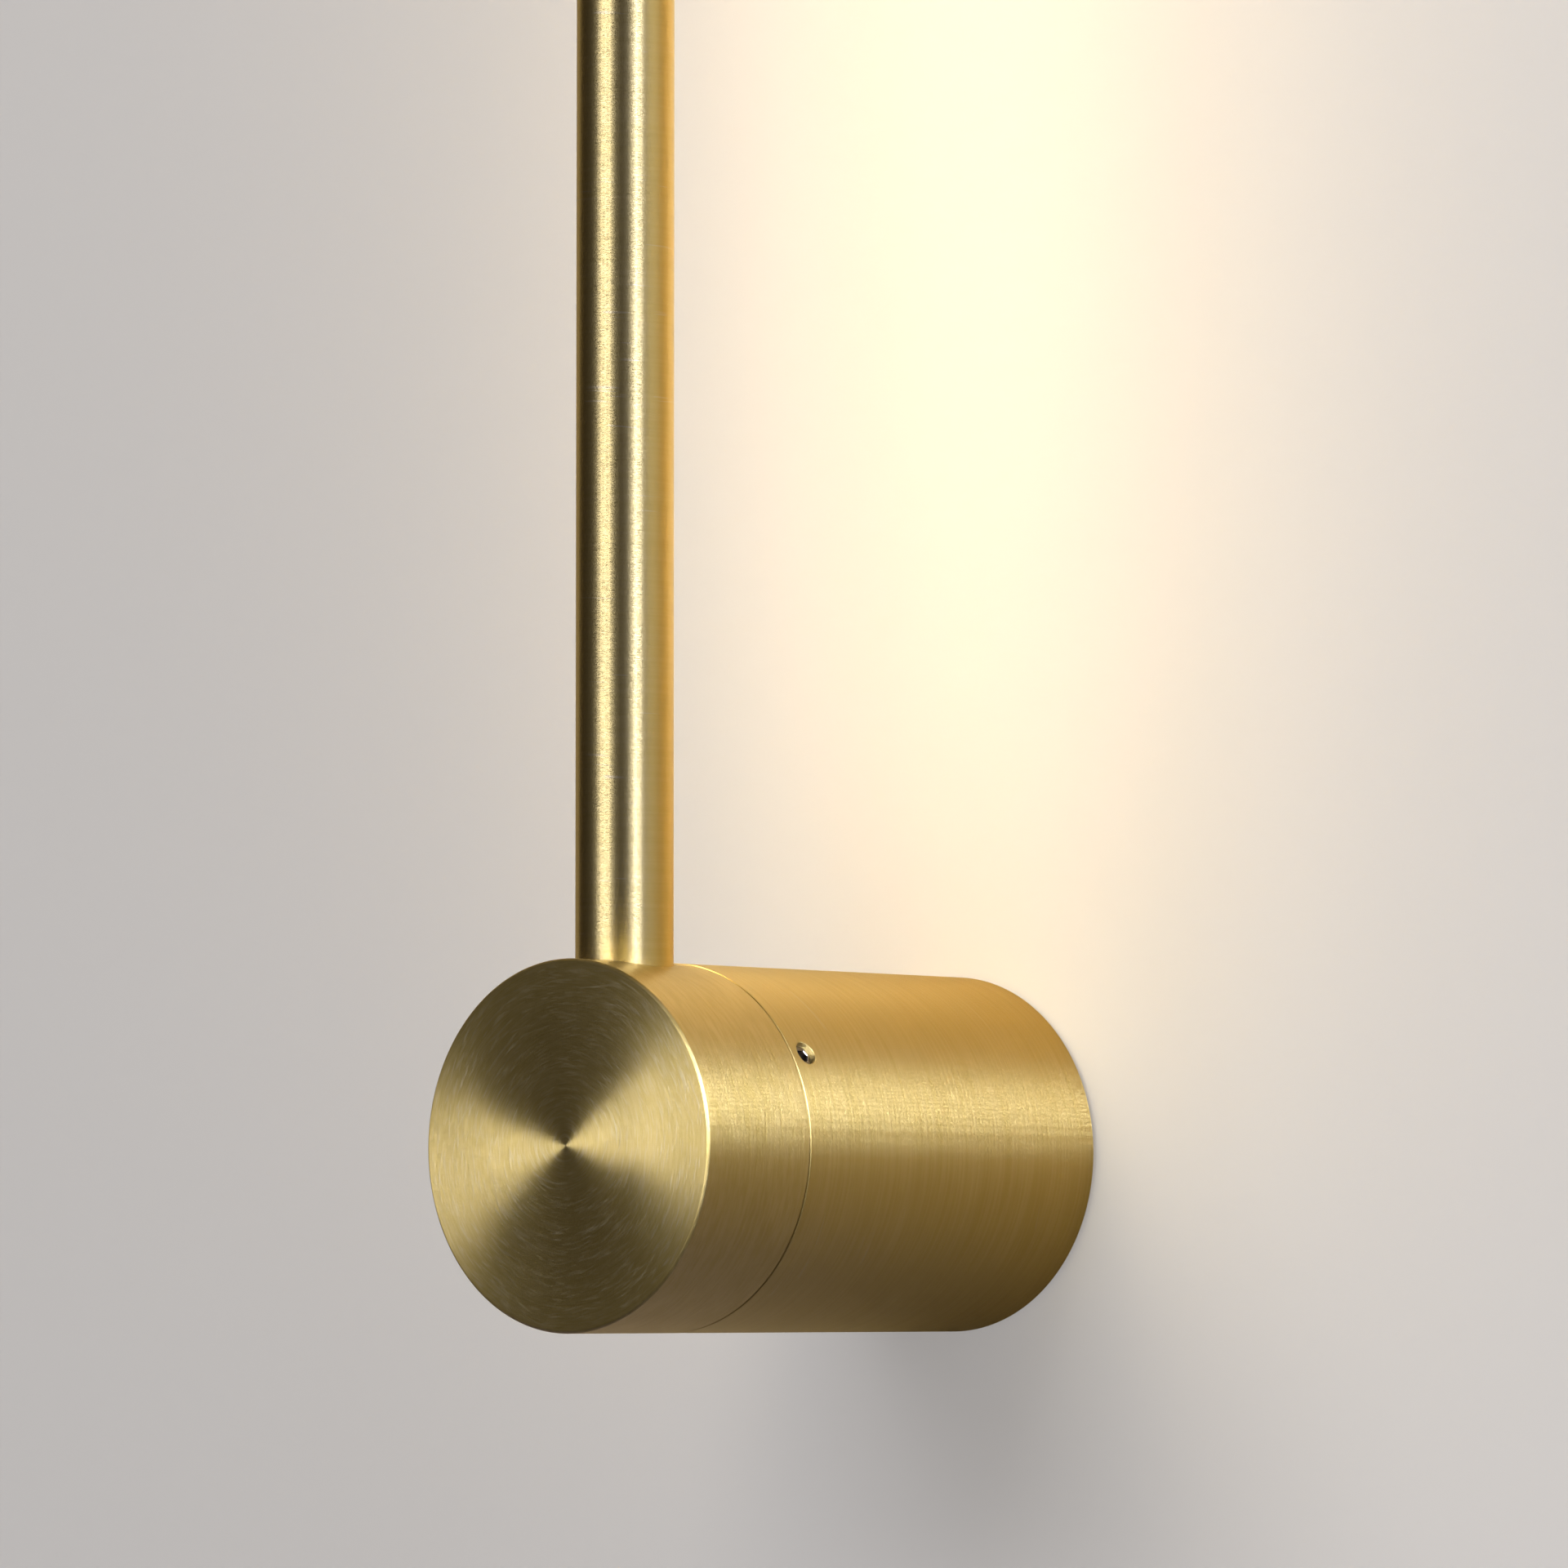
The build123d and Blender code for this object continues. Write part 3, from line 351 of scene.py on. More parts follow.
def blind_bore(surface, radius, angle, y, window, count, hole, edge, floor):
    """A blind hole in a cylinder about the lamp's axis, filling a window left out of its grid.

    The window's border is a rectangle of (angle, y) with count cells a side, and the hole's outline is a
    circle seen along the hole: height above the axis h = sqrt(R^2 - u^2) for an offset u across. Rings go
    over from border to outline in equal shares on the cylinder, round the edge by a quarter circle, run down
    the bore and close its floor."""
    flat_rings, edge_rings, first_drop = 8, 5, 0.1 * MM
    side = np.linspace(-1, 1, count + 1)
    one = np.ones(count)
    u = np.concatenate([side[:-1], one, side[:0:-1], -one, side[:1]])
    v = np.concatenate([-one, side[:-1], one, side[:0:-1], side[:1]])
    way = np.arctan2(v, u)
    border_t, border_y = u * window[0], v * window[1]
    out, across, along = axes_at(angle)
    mouth = hole + edge
    hole_t, hole_y = np.arcsin(mouth * np.cos(way) / radius), mouth * np.sin(way)
    share = np.linspace(0, 1, flat_rings)[:, None]
    t = angle + border_t + (hole_t - border_t) * share
    length = y + border_y + (hole_y - border_y) * share
    surface.grid(np.stack([radius * np.cos(t), length, radius * np.sin(t)], axis=-1))
    bend = np.linspace(0, math.pi / 2, edge_rings)[:, None]
    r = hole + edge * (1 - np.sin(bend))
    height = np.sqrt(radius**2 - (r * np.cos(way)) ** 2) - edge * (1 - np.cos(bend))
    r = np.concatenate([r, [[hole], [hole], [0]]]) * np.ones_like(way)
    low = np.full_like(height[:1], floor)
    height = np.concatenate([height, height[-1:] - first_drop, low, low])
    offset = (r * np.cos(way))[..., None] * across + (y + r * np.sin(way))[..., None] * along
    surface.grid(height[..., None] * out + offset)


def window_cells(rows, columns, *windows):
    """True for the cells of a grid whose middles lie in a window ((row low, high), (column low, high))."""
    row, column = (rows[:-1] + rows[1:]) / 2, (columns[:-1] + columns[1:]) / 2
    inside = np.zeros((len(row), len(column)), bool)
    for (row_low, row_high), (low, high) in windows:
        inside |= ((row > row_low) & (row < row_high))[:, None] & ((column > low) & (column < high))[None, :]
    return inside


def piece(name, surface, body, node, material):
    """An object for a surface, riding on its body and standing for its node."""
    made = bpy.data.objects.new(name, surface.mesh(name))
    bpy.context.scene.collection.objects.link(made)
    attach(made, body)
    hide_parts(node)
    made.data.materials.append(material)
    return made


def stage_piece(name, points, material):
    """An open sheet over one grid of points, which isn't part of the lamp."""
    data = bpy.data.meshes.new(name)
    data.from_pydata(points.reshape(-1, 3).tolist(), [], cells(*points.shape[:2]).tolist())
    data.materials.append(material)
    made = bpy.data.objects.new(name, data)
    bpy.context.scene.collection.objects.link(made)


# ---------------------------------------------------------------- shader maths

class Wire:
    """A socket in a material's node tree. Python's operators on it add Math nodes."""

    def __init__(self, finish, socket):
        self.finish, self.socket = finish, socket

    def maths(self, operation, *values):
        """One Math node on this socket and up to two more values."""
        inputs = dict(enumerate((self, *values)))
        return self.finish.add("ShaderNodeMath", {"operation": operation}, inputs)

    def __add__(self, other):
        return self.maths("ADD", other)

    def __sub__(self, other):
        return self.maths("SUBTRACT", other)

    def __rsub__(self, other):
        return self.finish.add("ShaderNodeMath", {"operation": "SUBTRACT"}, {0: other, 1: self})

    def __mul__(self, other):
        return self.maths("MULTIPLY", other)

    def __pow__(self, other):
        return self.maths("POWER", other)

    __radd__, __rmul__ = __add__, __mul__

    def ramp(self, low, high, to_low=0.0, to_high=1.0, smooth=True):
        """Goes from to_low at low to to_high at high, and stays there outside."""
        kind = "SMOOTHSTEP" if smooth else "LINEAR"
        values = {"Value": self, "From Min": low, "From Max": high, "To Min": to_low, "To Max": to_high}
        return self.finish.add("ShaderNodeMapRange", {"interpolation_type": kind}, values)

    def stretched(self):
        """Noise stretched from the range where it mostly lies to 0 to 1."""
        return self.ramp(0.3, 0.7)


class Finish:
    """A material and its node tree, with one Principled shader to fill in."""

    def __init__(self, name):
        self.material = bpy.data.materials.new(name)
        self.material.use_nodes = True
        self.tree = self.material.node_tree
        self.shader = self.tree.nodes["Principled BSDF"]
        self.output = self.tree.nodes["Material Output"]

    def add(self, kind, settings=None, values=None, out=0):
        """A node: its settings are set first, then its sockets get values or links. Returns one output."""
        node = self.tree.nodes.new(kind)
        for name, value in (settings or {}).items():
            setattr(node, name, value)
        for name, value in (values or {}).items():
            self.put(node.inputs[name], value)
        return Wire(self, node.outputs[out])

    def put(self, socket, value):
        """Links a wire to a socket, or sets its value."""
        if isinstance(value, Wire):
            self.tree.links.new(value.socket, socket)
        else:
            socket.default_value = value

    def set(self, **values):
        """Fills in the Principled shader; an underscore in a name stands for a space."""
        for name, value in values.items():
            self.put(self.shader.inputs[name.replace("_", " ")], value)
        return self.material

    def place(self):
        """Object coordinates as a vector and as x, y and z."""
        vector = self.add("ShaderNodeTexCoord", out="Object")
        parts = self.tree.nodes.new("ShaderNodeSeparateXYZ")
        self.put(parts.inputs[0], vector)
        return vector, *(Wire(self, parts.outputs[i]) for i in range(3))

    def vector(self, x, y, z):
        return self.add("ShaderNodeCombineXYZ", values={0: x, 1: y, 2: z})

    def noise(self, vector, scale, detail=2.0, rough=0.5):
        """Noise from 0 to 1 with a mean near a half."""
        values = {"Vector": vector, "Scale": scale, "Detail": detail, "Roughness": rough}
        return self.add("ShaderNodeTexNoise", values=values)

    def mix(self, factor, a, b):
        """A colour between a and b: the Mix node's sockets 6 and 7 and its output 2 are for colours."""
        return self.add("ShaderNodeMix", {"data_type": "RGBA"}, {0: factor, 6: a, 7: b}, 2)

    def mix_shaders(self, factor, a, b):
        """The shader a at factor 0 and b at factor 1."""
        return self.add("ShaderNodeMixShader", values={0: factor, 1: a, 2: b})

    def matt(self, r, g, b):
        return self.add("ShaderNodeBsdfDiffuse", values={"Color": colour(r, g, b)})

    def mirrored(self):
        """1 where the surface shows as a reflection in metal, and 0 elsewhere."""
        return self.add("ShaderNodeLightPath", out="Is Glossy Ray")

    def with_painted_reflection(self, tint, share=1.0):
        """The Principled shader, but a share of a plain matt colour where it shows as a reflection: a painted
        reflection tone.
        """
        return self.mix_shaders(self.mirrored() * share, Wire(self, self.shader.outputs[0]), self.matt(*tint))

    def bump(self, height, distance, normal=None):
        """A normal tilted by a height; distance is how far a height of 1 stands up, in metres."""
        values = {"Height": height, "Distance": distance, "Strength": 1.0}
        if normal is not None:
            values["Normal"] = normal
        return self.add("ShaderNodeBump", values=values)


def colour(r, g, b):
    return (r, g, b, 1.0)


# brushing: waves per metre along its grooves and across them
FINE, HAIR, BANDS = (6000.0, 45000.0), (45.0, 1700.0), (25.0, 260.0)


def brushed(name, groove, scratches, look, spread, streak, mean_rough, contrast, depth=None, wear=None):
    """Satin brass. groove gives a function from waves per metre along and across the brushing to vectors
    whose third part crosses it, and scratches gives the few marks on top.

    The height is a sum of noises that are long along the grooves and short across them. A noise of scale s
    and height h has slopes of about 0.7 s h, so each one's height is its wanted slope over 0.7 s: spread for
    the finest, which is narrower than a pixel and spreads highlights across its grooves, as real brushing
    does, and streak for the hairlines. Those can be seen: they vary height, colour, by contrast, and gloss.
    depth and wear, where given, are functions of x and z for how deep the grooves are and how much duller the
    brass is."""
    finish = Finish(name)
    place, x, y, z = finish.place()
    lines = groove(finish, x, y, z)
    fine = finish.noise(lines(*FINE), 1.0, 0.0)
    hair = finish.noise(lines(*HAIR), 1.0, 2.0, 0.65)
    bands = finish.noise(lines(*BANDS), 1.0, 1.0)
    clouds = finish.noise(place, 38.0, 3.0, 0.55)
    height = fine * (spread / (0.7 * FINE[1])) + hair * (streak / (0.7 * HAIR[1]))
    if depth:
        height = height * depth(x, z)
    normal = finish.add("ShaderNodeBump", values={"Height": height, "Distance": 1.0, "Filter Width": 0.01})
    marks = scratches(finish, x, y, z)
    normal = finish.bump(marks, look.scratch_depth, normal)
    base = Vector(look.colour)
    warm, pale = base * (1 - 0.14 * contrast), base.lerp(WHITE, 0.13 * contrast)
    # painted highlight: the scratches are real marks, and this paler colour along them stands in for the
    # glint they catch
    painted_glint = base.lerp(WHITE, 0.35)
    share = hair.stretched() * 0.62 + bands.stretched() * 0.18 + clouds.stretched() * 0.2
    tint = finish.mix(marks * 0.4, finish.mix(share, colour(*warm), colour(*pale)), colour(*painted_glint))
    rough = mean_rough - 0.01 + hair * 0.015 + clouds * 0.01 + marks * 0.02
    if wear:
        rough = rough + wear(x, z)
    return finish.set(Base_Color=tint, Metallic=1.0, Roughness=rough, Normal=normal)


def from_axis(x, z):
    """The distance from the lamp's axis."""
    return (x * x + z * z) ** 0.5


def ring_lines(finish, x, y, z):
    """Vectors whose third part crosses grooves that run round the lamp's axis: 2 r - y, so that it changes
    across the side, the face and the chamfers between them."""
    r = from_axis(x, z)

    def lines(along, across):
        return finish.vector(x * along, z * along, (r * 2 - y) * across)

    return lines


def bent_ring_lines(finish, x, y, z):
    """The same, but short, and bent a little by a broad noise on the face, as hand brushing leaves them."""
    r, shorter = from_axis(x, z), 140.0
    warp = finish.noise(finish.vector(x, z, 3.1), 75.0, 0.0) - 0.5
    bend = warp * (5 * MM) * r.ramp(BODY_RADIUS - 16 * MM, BODY_RADIUS - 0.8 * MM, 1.0, 0.0)

    def lines(along, across):
        along = along + shorter
        return finish.vector(x * along, z * along, (r * 2 + bend - y) * across)

    return lines


def tube_lines(finish, x, y, z):
    """Vectors whose third part crosses grooves that run round the tube: the height. Even the finest are long,
    which keeps the tube's upright stripes sharp."""
    finest = 1500.0

    def lines(along, across):
        along = min(along, finest)
        return finish.vector(x * along, y * along, z * across)

    return lines


def flat_face(x, z):
    """How deep the grooves of the puck are: shallower on its face, full from the front chamfer on."""
    return from_axis(x, z).ramp(BODY_RADIUS - 0.5 * MM, BODY_RADIUS - 0.2 * MM, 0.40, 1.0, False)


def worn_rim(x, z):
    """The face grows a little duller towards its rim, where hands touch it."""
    return from_axis(x, z).ramp(BODY_RADIUS - 14 * MM, BODY_RADIUS - 1 * MM, 0.0, 0.02)


def puck_scratches(finish, x, y, z):
    """Two layers of short hairlines that cross the face's circular brushing at small angles: thin noise bands
    in the distance from the axis, bent by a broad noise."""
    r = from_axis(x, z)
    total = 0.0
    for shift, bend in ((0.0, 6 * MM), (7.3, -6 * MM)):
        warp = finish.noise(finish.vector(x, z, shift), 60.0, 0.0)
        across = (r + warp * bend) * 2600.0
        band = finish.noise(finish.vector(x * 260.0 + shift, z * 260.0, across), 1.0, 1.0).ramp(0.56, 0.70)
        total = band + total
    return total * r.ramp(BODY_RADIUS - 1.5 * MM, BODY_RADIUS - 0.5 * MM, 1.0, 0.0)


def side_scratches(finish, x, y, z):
    """Short scratches along the barrel, slightly off the brushing: thin noise bands in y + z / 9."""
    slanted = finish.vector(x * 30.0, z * 30.0, (y + z * 0.11) * 1500.0)
    band = finish.noise(slanted, 1.0, 0.0).ramp(0.74, 0.78)
    mask = finish.noise(finish.vector(x, y, z), 90.0, 1.0).ramp(0.58, 0.66)
    return band * mask


def tube_scratches(finish, x, y, z):
    """Tiny level scratches on the tube: thin noise bands in z + x / 12."""
    slanted = finish.vector(x * 90.0, y * 90.0, (z + x * 0.08) * 2200.0)
    band = finish.noise(slanted, 1.0, 0.0).ramp(0.72, 0.77)
    mask = finish.noise(finish.vector(x, y, z), 120.0, 1.0).ramp(0.56, 0.64)
    return band * mask


def tube_brass(look):
    """The tube's brass, made once for the tube and its cap."""
    made = bpy.data.materials.get("brass_brushed_tube")
    return made or brushed(
        "brass_brushed_tube", tube_lines, tube_scratches, look, look.tube_spread, 0.02,
        look.tube_roughness, 0.3)


def machined(name, base, rough, metallic, grain, depth):
    """Metal or plastic with a fine grain: a small noise for height and a broad one for colour and gloss."""
    finish = Finish(name)
    place = finish.place()[0]
    fine = finish.noise(place, grain, 2.0)
    broad = finish.noise(place, 160.0, 3.0)
    spots = 0.08
    dark = colour(*(c * (1 - spots) for c in base))
    light = colour(*(c + (1 - c) * spots * 0.5 for c in base))
    tint = finish.mix(broad.stretched(), dark, light)
    roughness = rough - 0.05 + broad * 0.1
    normal = finish.bump(fine, depth * 4)
    return finish.set(Base_Color=tint, Metallic=metallic, Roughness=roughness, Normal=normal)


def opal(look):
    """The lit cover: warm light that is a little stronger over each chip behind it."""
    finish = Finish("lit_opal")
    place, _, _, z = finish.place()
    chip_pitch, first_chip = 16.0 * MM, 40.0 * MM
    wave = ((z - first_chip) * (2 * math.pi / chip_pitch)).maths("COSINE")
    grain = finish.noise(place, 900.0, 2.0)
    light = wave * 0.04 + grain * 0.04 + 0.94
    glow = finish.mix(light, colour(0, 0, 0), colour(*look.lamp_colour))
    tint = finish.mix(grain, colour(0.90, 0.87, 0.80), colour(0.95, 0.92, 0.86))
    normal = finish.bump(grain, 0.004 * MM)
    return finish.set(
        Base_Color=tint, Roughness=grain * 0.1 + 0.4, Emission_Color=glow,
        Emission_Strength=look.lamp_strength, Normal=normal,
    )


# name, colour, roughness, metallic, grain per metre, grain depth in millimetres
SLOT_FINISHES = {
    "plain_brass": ((0.74, 0.57, 0.29), 0.28, 1.0, 4000.0, 0.0015),
    "zinc_steel": ((0.62, 0.64, 0.66), 0.30, 1.0, 3000.0, 0.003),
    "dark_steel": ((0.045, 0.042, 0.04), 0.38, 0.9, 3500.0, 0.003),
    "aluminium": ((0.78, 0.79, 0.80), 0.33, 1.0, 3000.0, 0.003),
    "white_strip": ((0.88, 0.88, 0.85), 0.35, 0.0, 2500.0, 0.002),
    "led_phosphor": ((0.93, 0.74, 0.25), 0.45, 0.0, 6000.0, 0.003),
    "connector_black": ((0.03, 0.03, 0.033), 0.45, 0.0, 2500.0, 0.004),
    "black_rubber": ((0.025, 0.025, 0.025), 0.65, 0.0, 1800.0, 0.006),
    "driver_plastic": ((0.80, 0.80, 0.77), 0.48, 0.0, 2200.0, 0.006),
    "circuit_board": ((0.03, 0.20, 0.07), 0.30, 0.0, 1500.0, 0.003),
    "component_dark": ((0.05, 0.045, 0.045), 0.40, 0.0, 2500.0, 0.003),
    "terminal_plastic": ((0.82, 0.80, 0.74), 0.38, 0.0, 1800.0, 0.003),
    "red_insulation": ((0.50, 0.03, 0.02), 0.35, 0.0, 1500.0, 0.003),
    "black_insulation": ((0.02, 0.02, 0.02), 0.35, 0.0, 1500.0, 0.003),
    "brown_insulation": ((0.14, 0.05, 0.02), 0.35, 0.0, 1500.0, 0.003),
    "blue_insulation": ((0.02, 0.09, 0.38), 0.35, 0.0, 1500.0, 0.003),
}


def two_colour_lead():
    """Green insulation with one yellow stripe along the wire's side."""
    finish = Finish("green_and_yellow_insulation")
    place, x, y, _ = finish.place()
    grain = finish.noise(place, 1500.0, 2.0)
    stripe = (x * 900.0 + y * 350.0).maths("SINE").ramp(0.1, 0.25)
    tint = finish.mix(stripe, colour(0.04, 0.28, 0.05), colour(0.80, 0.62, 0.04))
    return finish.set(Base_Color=tint, Roughness=grain * 0.1 + 0.3, Normal=finish.bump(grain, 0.01 * MM))


def slot_finish(slot):
    """The finish of a slot whose nodes are carried over from the frame."""
    if slot == "green_insulation":
        return two_colour_lead()
    *settings, depth = SLOT_FINISHES[slot]
    return machined(slot, *settings, depth * MM)


def painted_wall():
    """Matt paint with a fine relief and some light of its own, which stands for the room's bounce and is
    painted brighter towards the right. It shows only from the room's side. In reflections it shows painted
    reflection
    tones: mostly a plain warm tone, a cool one below the lamp, and more of itself on the right and where the
    lamp's glow lies."""
    finish = Finish("painted_wall")
    place, x, _, z = finish.place()
    orange_peel = finish.noise(place, 260.0, 3.0)
    broad = finish.noise(place, 3.0, 2.0)
    tint = finish.mix(broad, colour(0.50, 0.488, 0.485), colour(0.53, 0.518, 0.515))
    # painted light: the wall's own glow, brighter towards the right
    bounce = finish.mix(x.ramp(-0.15, 0.2), colour(0.86, 0.83, 0.825), colour(1.3, 1.25, 1.23))
    finish.set(Base_Color=tint, Roughness=0.75, Normal=finish.bump(orange_peel, 0.05 * MM))
    finish.set(Emission_Color=bounce, Emission_Strength=0.26)
    on_right = x.ramp(0.08, 0.16) * z.ramp(-0.02, 0.15)
    in_glow = x.ramp(-0.14, -0.08) * x.ramp(0.01, 0.05, 1.0, 0.0) * z.ramp(0.03, 0.10)
    # painted reflection: a plain warm matt tone in reflections, with less of it on the right and in the
    # lamp's glow
    shown = finish.with_painted_reflection((0.47, 0.39, 0.245), 1.0 - on_right * 0.7 - in_glow * 0.5)
    # painted reflection: a cool matt tone low down, seen in reflections only
    below = finish.mirrored() * z.ramp(-0.16, -0.06, 1.0, 0.0)
    shown = finish.mix_shaders(below, shown, finish.matt(0.34, 0.32, 0.52))
    from_behind = finish.add("ShaderNodeNewGeometry", out="Backfacing")
    shown = finish.mix_shaders(from_behind, shown, finish.add("ShaderNodeBsdfTransparent"))
    finish.put(finish.output.inputs[0], shown)
    return finish.material


def pale_floor():
    """A pale matt floor, which shows a painted dark reflection tone in reflections."""
    finish = Finish("pale_floor")
    place = finish.place()[0]
    tint = finish.mix(finish.noise(place, 4.0), colour(0.76, 0.75, 0.73), colour(0.80, 0.79, 0.77))
    finish.set(Base_Color=tint, Roughness=0.7, Normal=finish.bump(finish.noise(place, 200.0), 0.2 * MM))
    # painted reflection: a plain dark tone where the floor is seen in reflections
    finish.put(finish.output.inputs[0], finish.with_painted_reflection((0.06, 0.055, 0.04)))
    return finish.material


# ---------------------------------------------------------------- operators

class MakeBarrel(Operator):
    """Make the brushed barrel that stands on the wall."""

    bl_idname = "wall_light.barrel"
    bl_label = "Barrel"

    def execute(self, context):
        """A rounded profile of (radius, y) turned about the lamp's axis, with a blind bore in each of three
        windows. The profile starts and ends inside, half way along the bore."""
        shape, look = context.scene.light_body, context.scene.light_brass
        radius, front, bore = shape.radius, BARREL_LOW.y, shape.radius - shape.wall
        ring_front, ring_bore = front + 12.0 * MM, 20.0 * MM
        ring_back = ring_front + 4.0 * MM
        rim, seam, inside = shape.rim_chamfer, shape.seam_chamfer, (bore, -30 * MM)
        corners = [
            inside, (bore, 0), (radius - rim, 0), (radius, -rim), (radius, front + seam),
            (radius - seam, front), (bore, front), (bore, ring_front), (ring_bore, ring_front),
            (ring_bore, ring_back), (bore, ring_back), inside,
        ]
        lock = PUCK_HIGH.y + shape.lock_behind_seam
        half_length, half_angle, count = 3.0 * MM, math.radians(6), 12
        window_rows = lock + np.linspace(-1, 1, count + 1) * half_length
        profile = split(with_rows(rounded(corners, shape.edge_round), window_rows), 4 * MM)
        angles = np.linspace(0, 2 * math.pi, shape.columns + 1)
        rows = np.where(profile[:, 0] > radius - TINY, profile[:, 1], OFF_SIDE)
        across = (lock - half_length, lock + half_length)
        windows = [(across, (angle - half_angle, angle + half_angle)) for angle in LOCK_ANGLES]
        surface = Surface()
        surface.grid(turned(profile, angles), window_cells(rows, angles, *windows))
        window, edge, floor = (half_angle, half_length), 0.12 * MM, radius - 2.9 * MM
        for angle in LOCK_ANGLES:
            blind_bore(surface, radius, angle, lock, window, count, shape.lock_hole, edge, floor)
        brass = brushed(
            "brass_brushed_round", ring_lines, side_scratches, look, look.spread, 0.05, look.roughness, 0.65)
        piece("brushed_barrel", surface, "barrel", "barrel", brass)
        return {"FINISHED"}


class MakePuck(Operator):
    """Make the puck at the front of the lamp, with its circular brushed face."""

    bl_idname = "wall_light.puck"
    bl_label = "Head puck"

    def execute(self, context):
        """A rounded profile of (radius, y) turned about the lamp's axis, with a blind bore in a window at its
        top, where the tube stands. The side's run is replaced by the window's rows."""
        shape, look = context.scene.light_body, context.scene.light_brass
        tube = context.scene.light_tube
        radius, front, back = shape.radius, PUCK_LOW.y, PUCK_HIGH.y
        face, seam = shape.front_chamfer, shape.seam_chamfer
        corners = [
            (0, front), (radius - face, front), (radius, front + face), (radius, back - seam),
            (radius - seam, back), (0, back),
        ]
        half_length, half_angle, count, longest = 9.5 * MM, math.radians(20), 40, 3 * MM
        window_rows = TUBE_Y + np.linspace(-1, 1, count + 1) * half_length
        profile = rounded(corners, shape.front_round)
        side_start = int(np.argmax(profile[:, 0] > radius - TINY))
        before, after = split(profile[: side_start + 1], longest), profile[side_start + 1:]
        side_end = int(np.argmax(after[:, 0] < radius - TINY)) - 1
        side = np.stack([np.full(count + 1, radius), window_rows], axis=-1)
        profile = split(np.concatenate([before, side, after[side_end:]]), longest)
        angles = np.linspace(0, 2 * math.pi, shape.columns + 1)
        rows = np.where(profile[:, 0] > radius - TINY, profile[:, 1], OFF_SIDE)
        window = ((TUBE_Y - half_length, TUBE_Y + half_length), (UP - half_angle, UP + half_angle))
        surface = Surface()
        surface.grid(turned(profile, angles), window_cells(rows, angles, window))
        hole, edge, floor = tube.radius + 0.05 * MM, 0.06 * MM, TUBE_LOW.z - 0.3 * MM
        blind_bore(surface, radius, UP, TUBE_Y, (half_angle, half_length), count, hole, edge, floor)
        brass = brushed(
            "brass_brushed_face", bent_ring_lines, puck_scratches, look, look.spread, 0.06,
            look.roughness, 0.8, flat_face, worn_rim)
        piece("brushed_head_puck", surface, "head", "head_puck", brass)
        return {"FINISHED"}


class MakeLockScrews(Operator):
    """Make the three hexagon-socket screws that lock the head."""

    bl_idname = "wall_light.lock_screws"
    bl_label = "Lock screws"

    def execute(self, context):
        """A rounded profile of (radius, height) turned about each screw's own axis. Inside the socket the
        circle goes over to a hexagon, whose radius is r / cos(angle from the middle of its side)."""
        shape = context.scene.light_body
        lock = PUCK_HIGH.y + shape.lock_behind_seam
        top, radius, socket = shape.radius - 0.8 * MM, shape.lock_hole - 0.02 * MM, 1.0 * MM
        foot, tip_share, rim = top - 4.0 * MM, 0.6, 0.35 * MM
        mouth, mouth_depth, floor, middle = 0.17 * MM, 0.12 * MM, top - 2.0 * MM, top - 2.2 * MM
        corners = [
            (0, foot), (radius * tip_share, foot), (radius, foot + radius * (1 - tip_share)),
            (radius, top - rim), (radius - rim, top), (socket + mouth, top), (socket, top - mouth_depth),
            (socket, floor), (0, middle),
        ]
        profile = rounded(corners, 0.05 * MM, 4, 0.03 * MM)
        turn, side = np.linspace(0, 2 * math.pi, 97), math.pi / 3
        hexagon = 1 / np.cos((turn + side / 2) % side - side / 2)
        height, r = profile[:, 1:], profile[:, :1]
        upper = np.arange(len(profile))[:, None] > len(profile) // 2
        share = np.clip((socket + 0.3 * MM - r) / (0.25 * MM), 0, 1) * (height > (floor + middle) / 2) * upper
        spoke = r * (1 + (hexagon - 1) * share)
        surface = Surface()
        for out, across, along in map(axes_at, LOCK_ANGLES):
            points = height[..., None] * out + (spoke * np.cos(turn))[..., None] * across
            surface.grid(points + (lock + spoke * np.sin(turn))[..., None] * along)
        steel = machined("polished_screw_steel", (0.36, 0.33, 0.35), 0.16, 1.0, 3500.0, 0.0015 * MM)
        piece("socket_lock_screws", surface, "barrel", "lock_screws", steel)
        return {"FINISHED"}


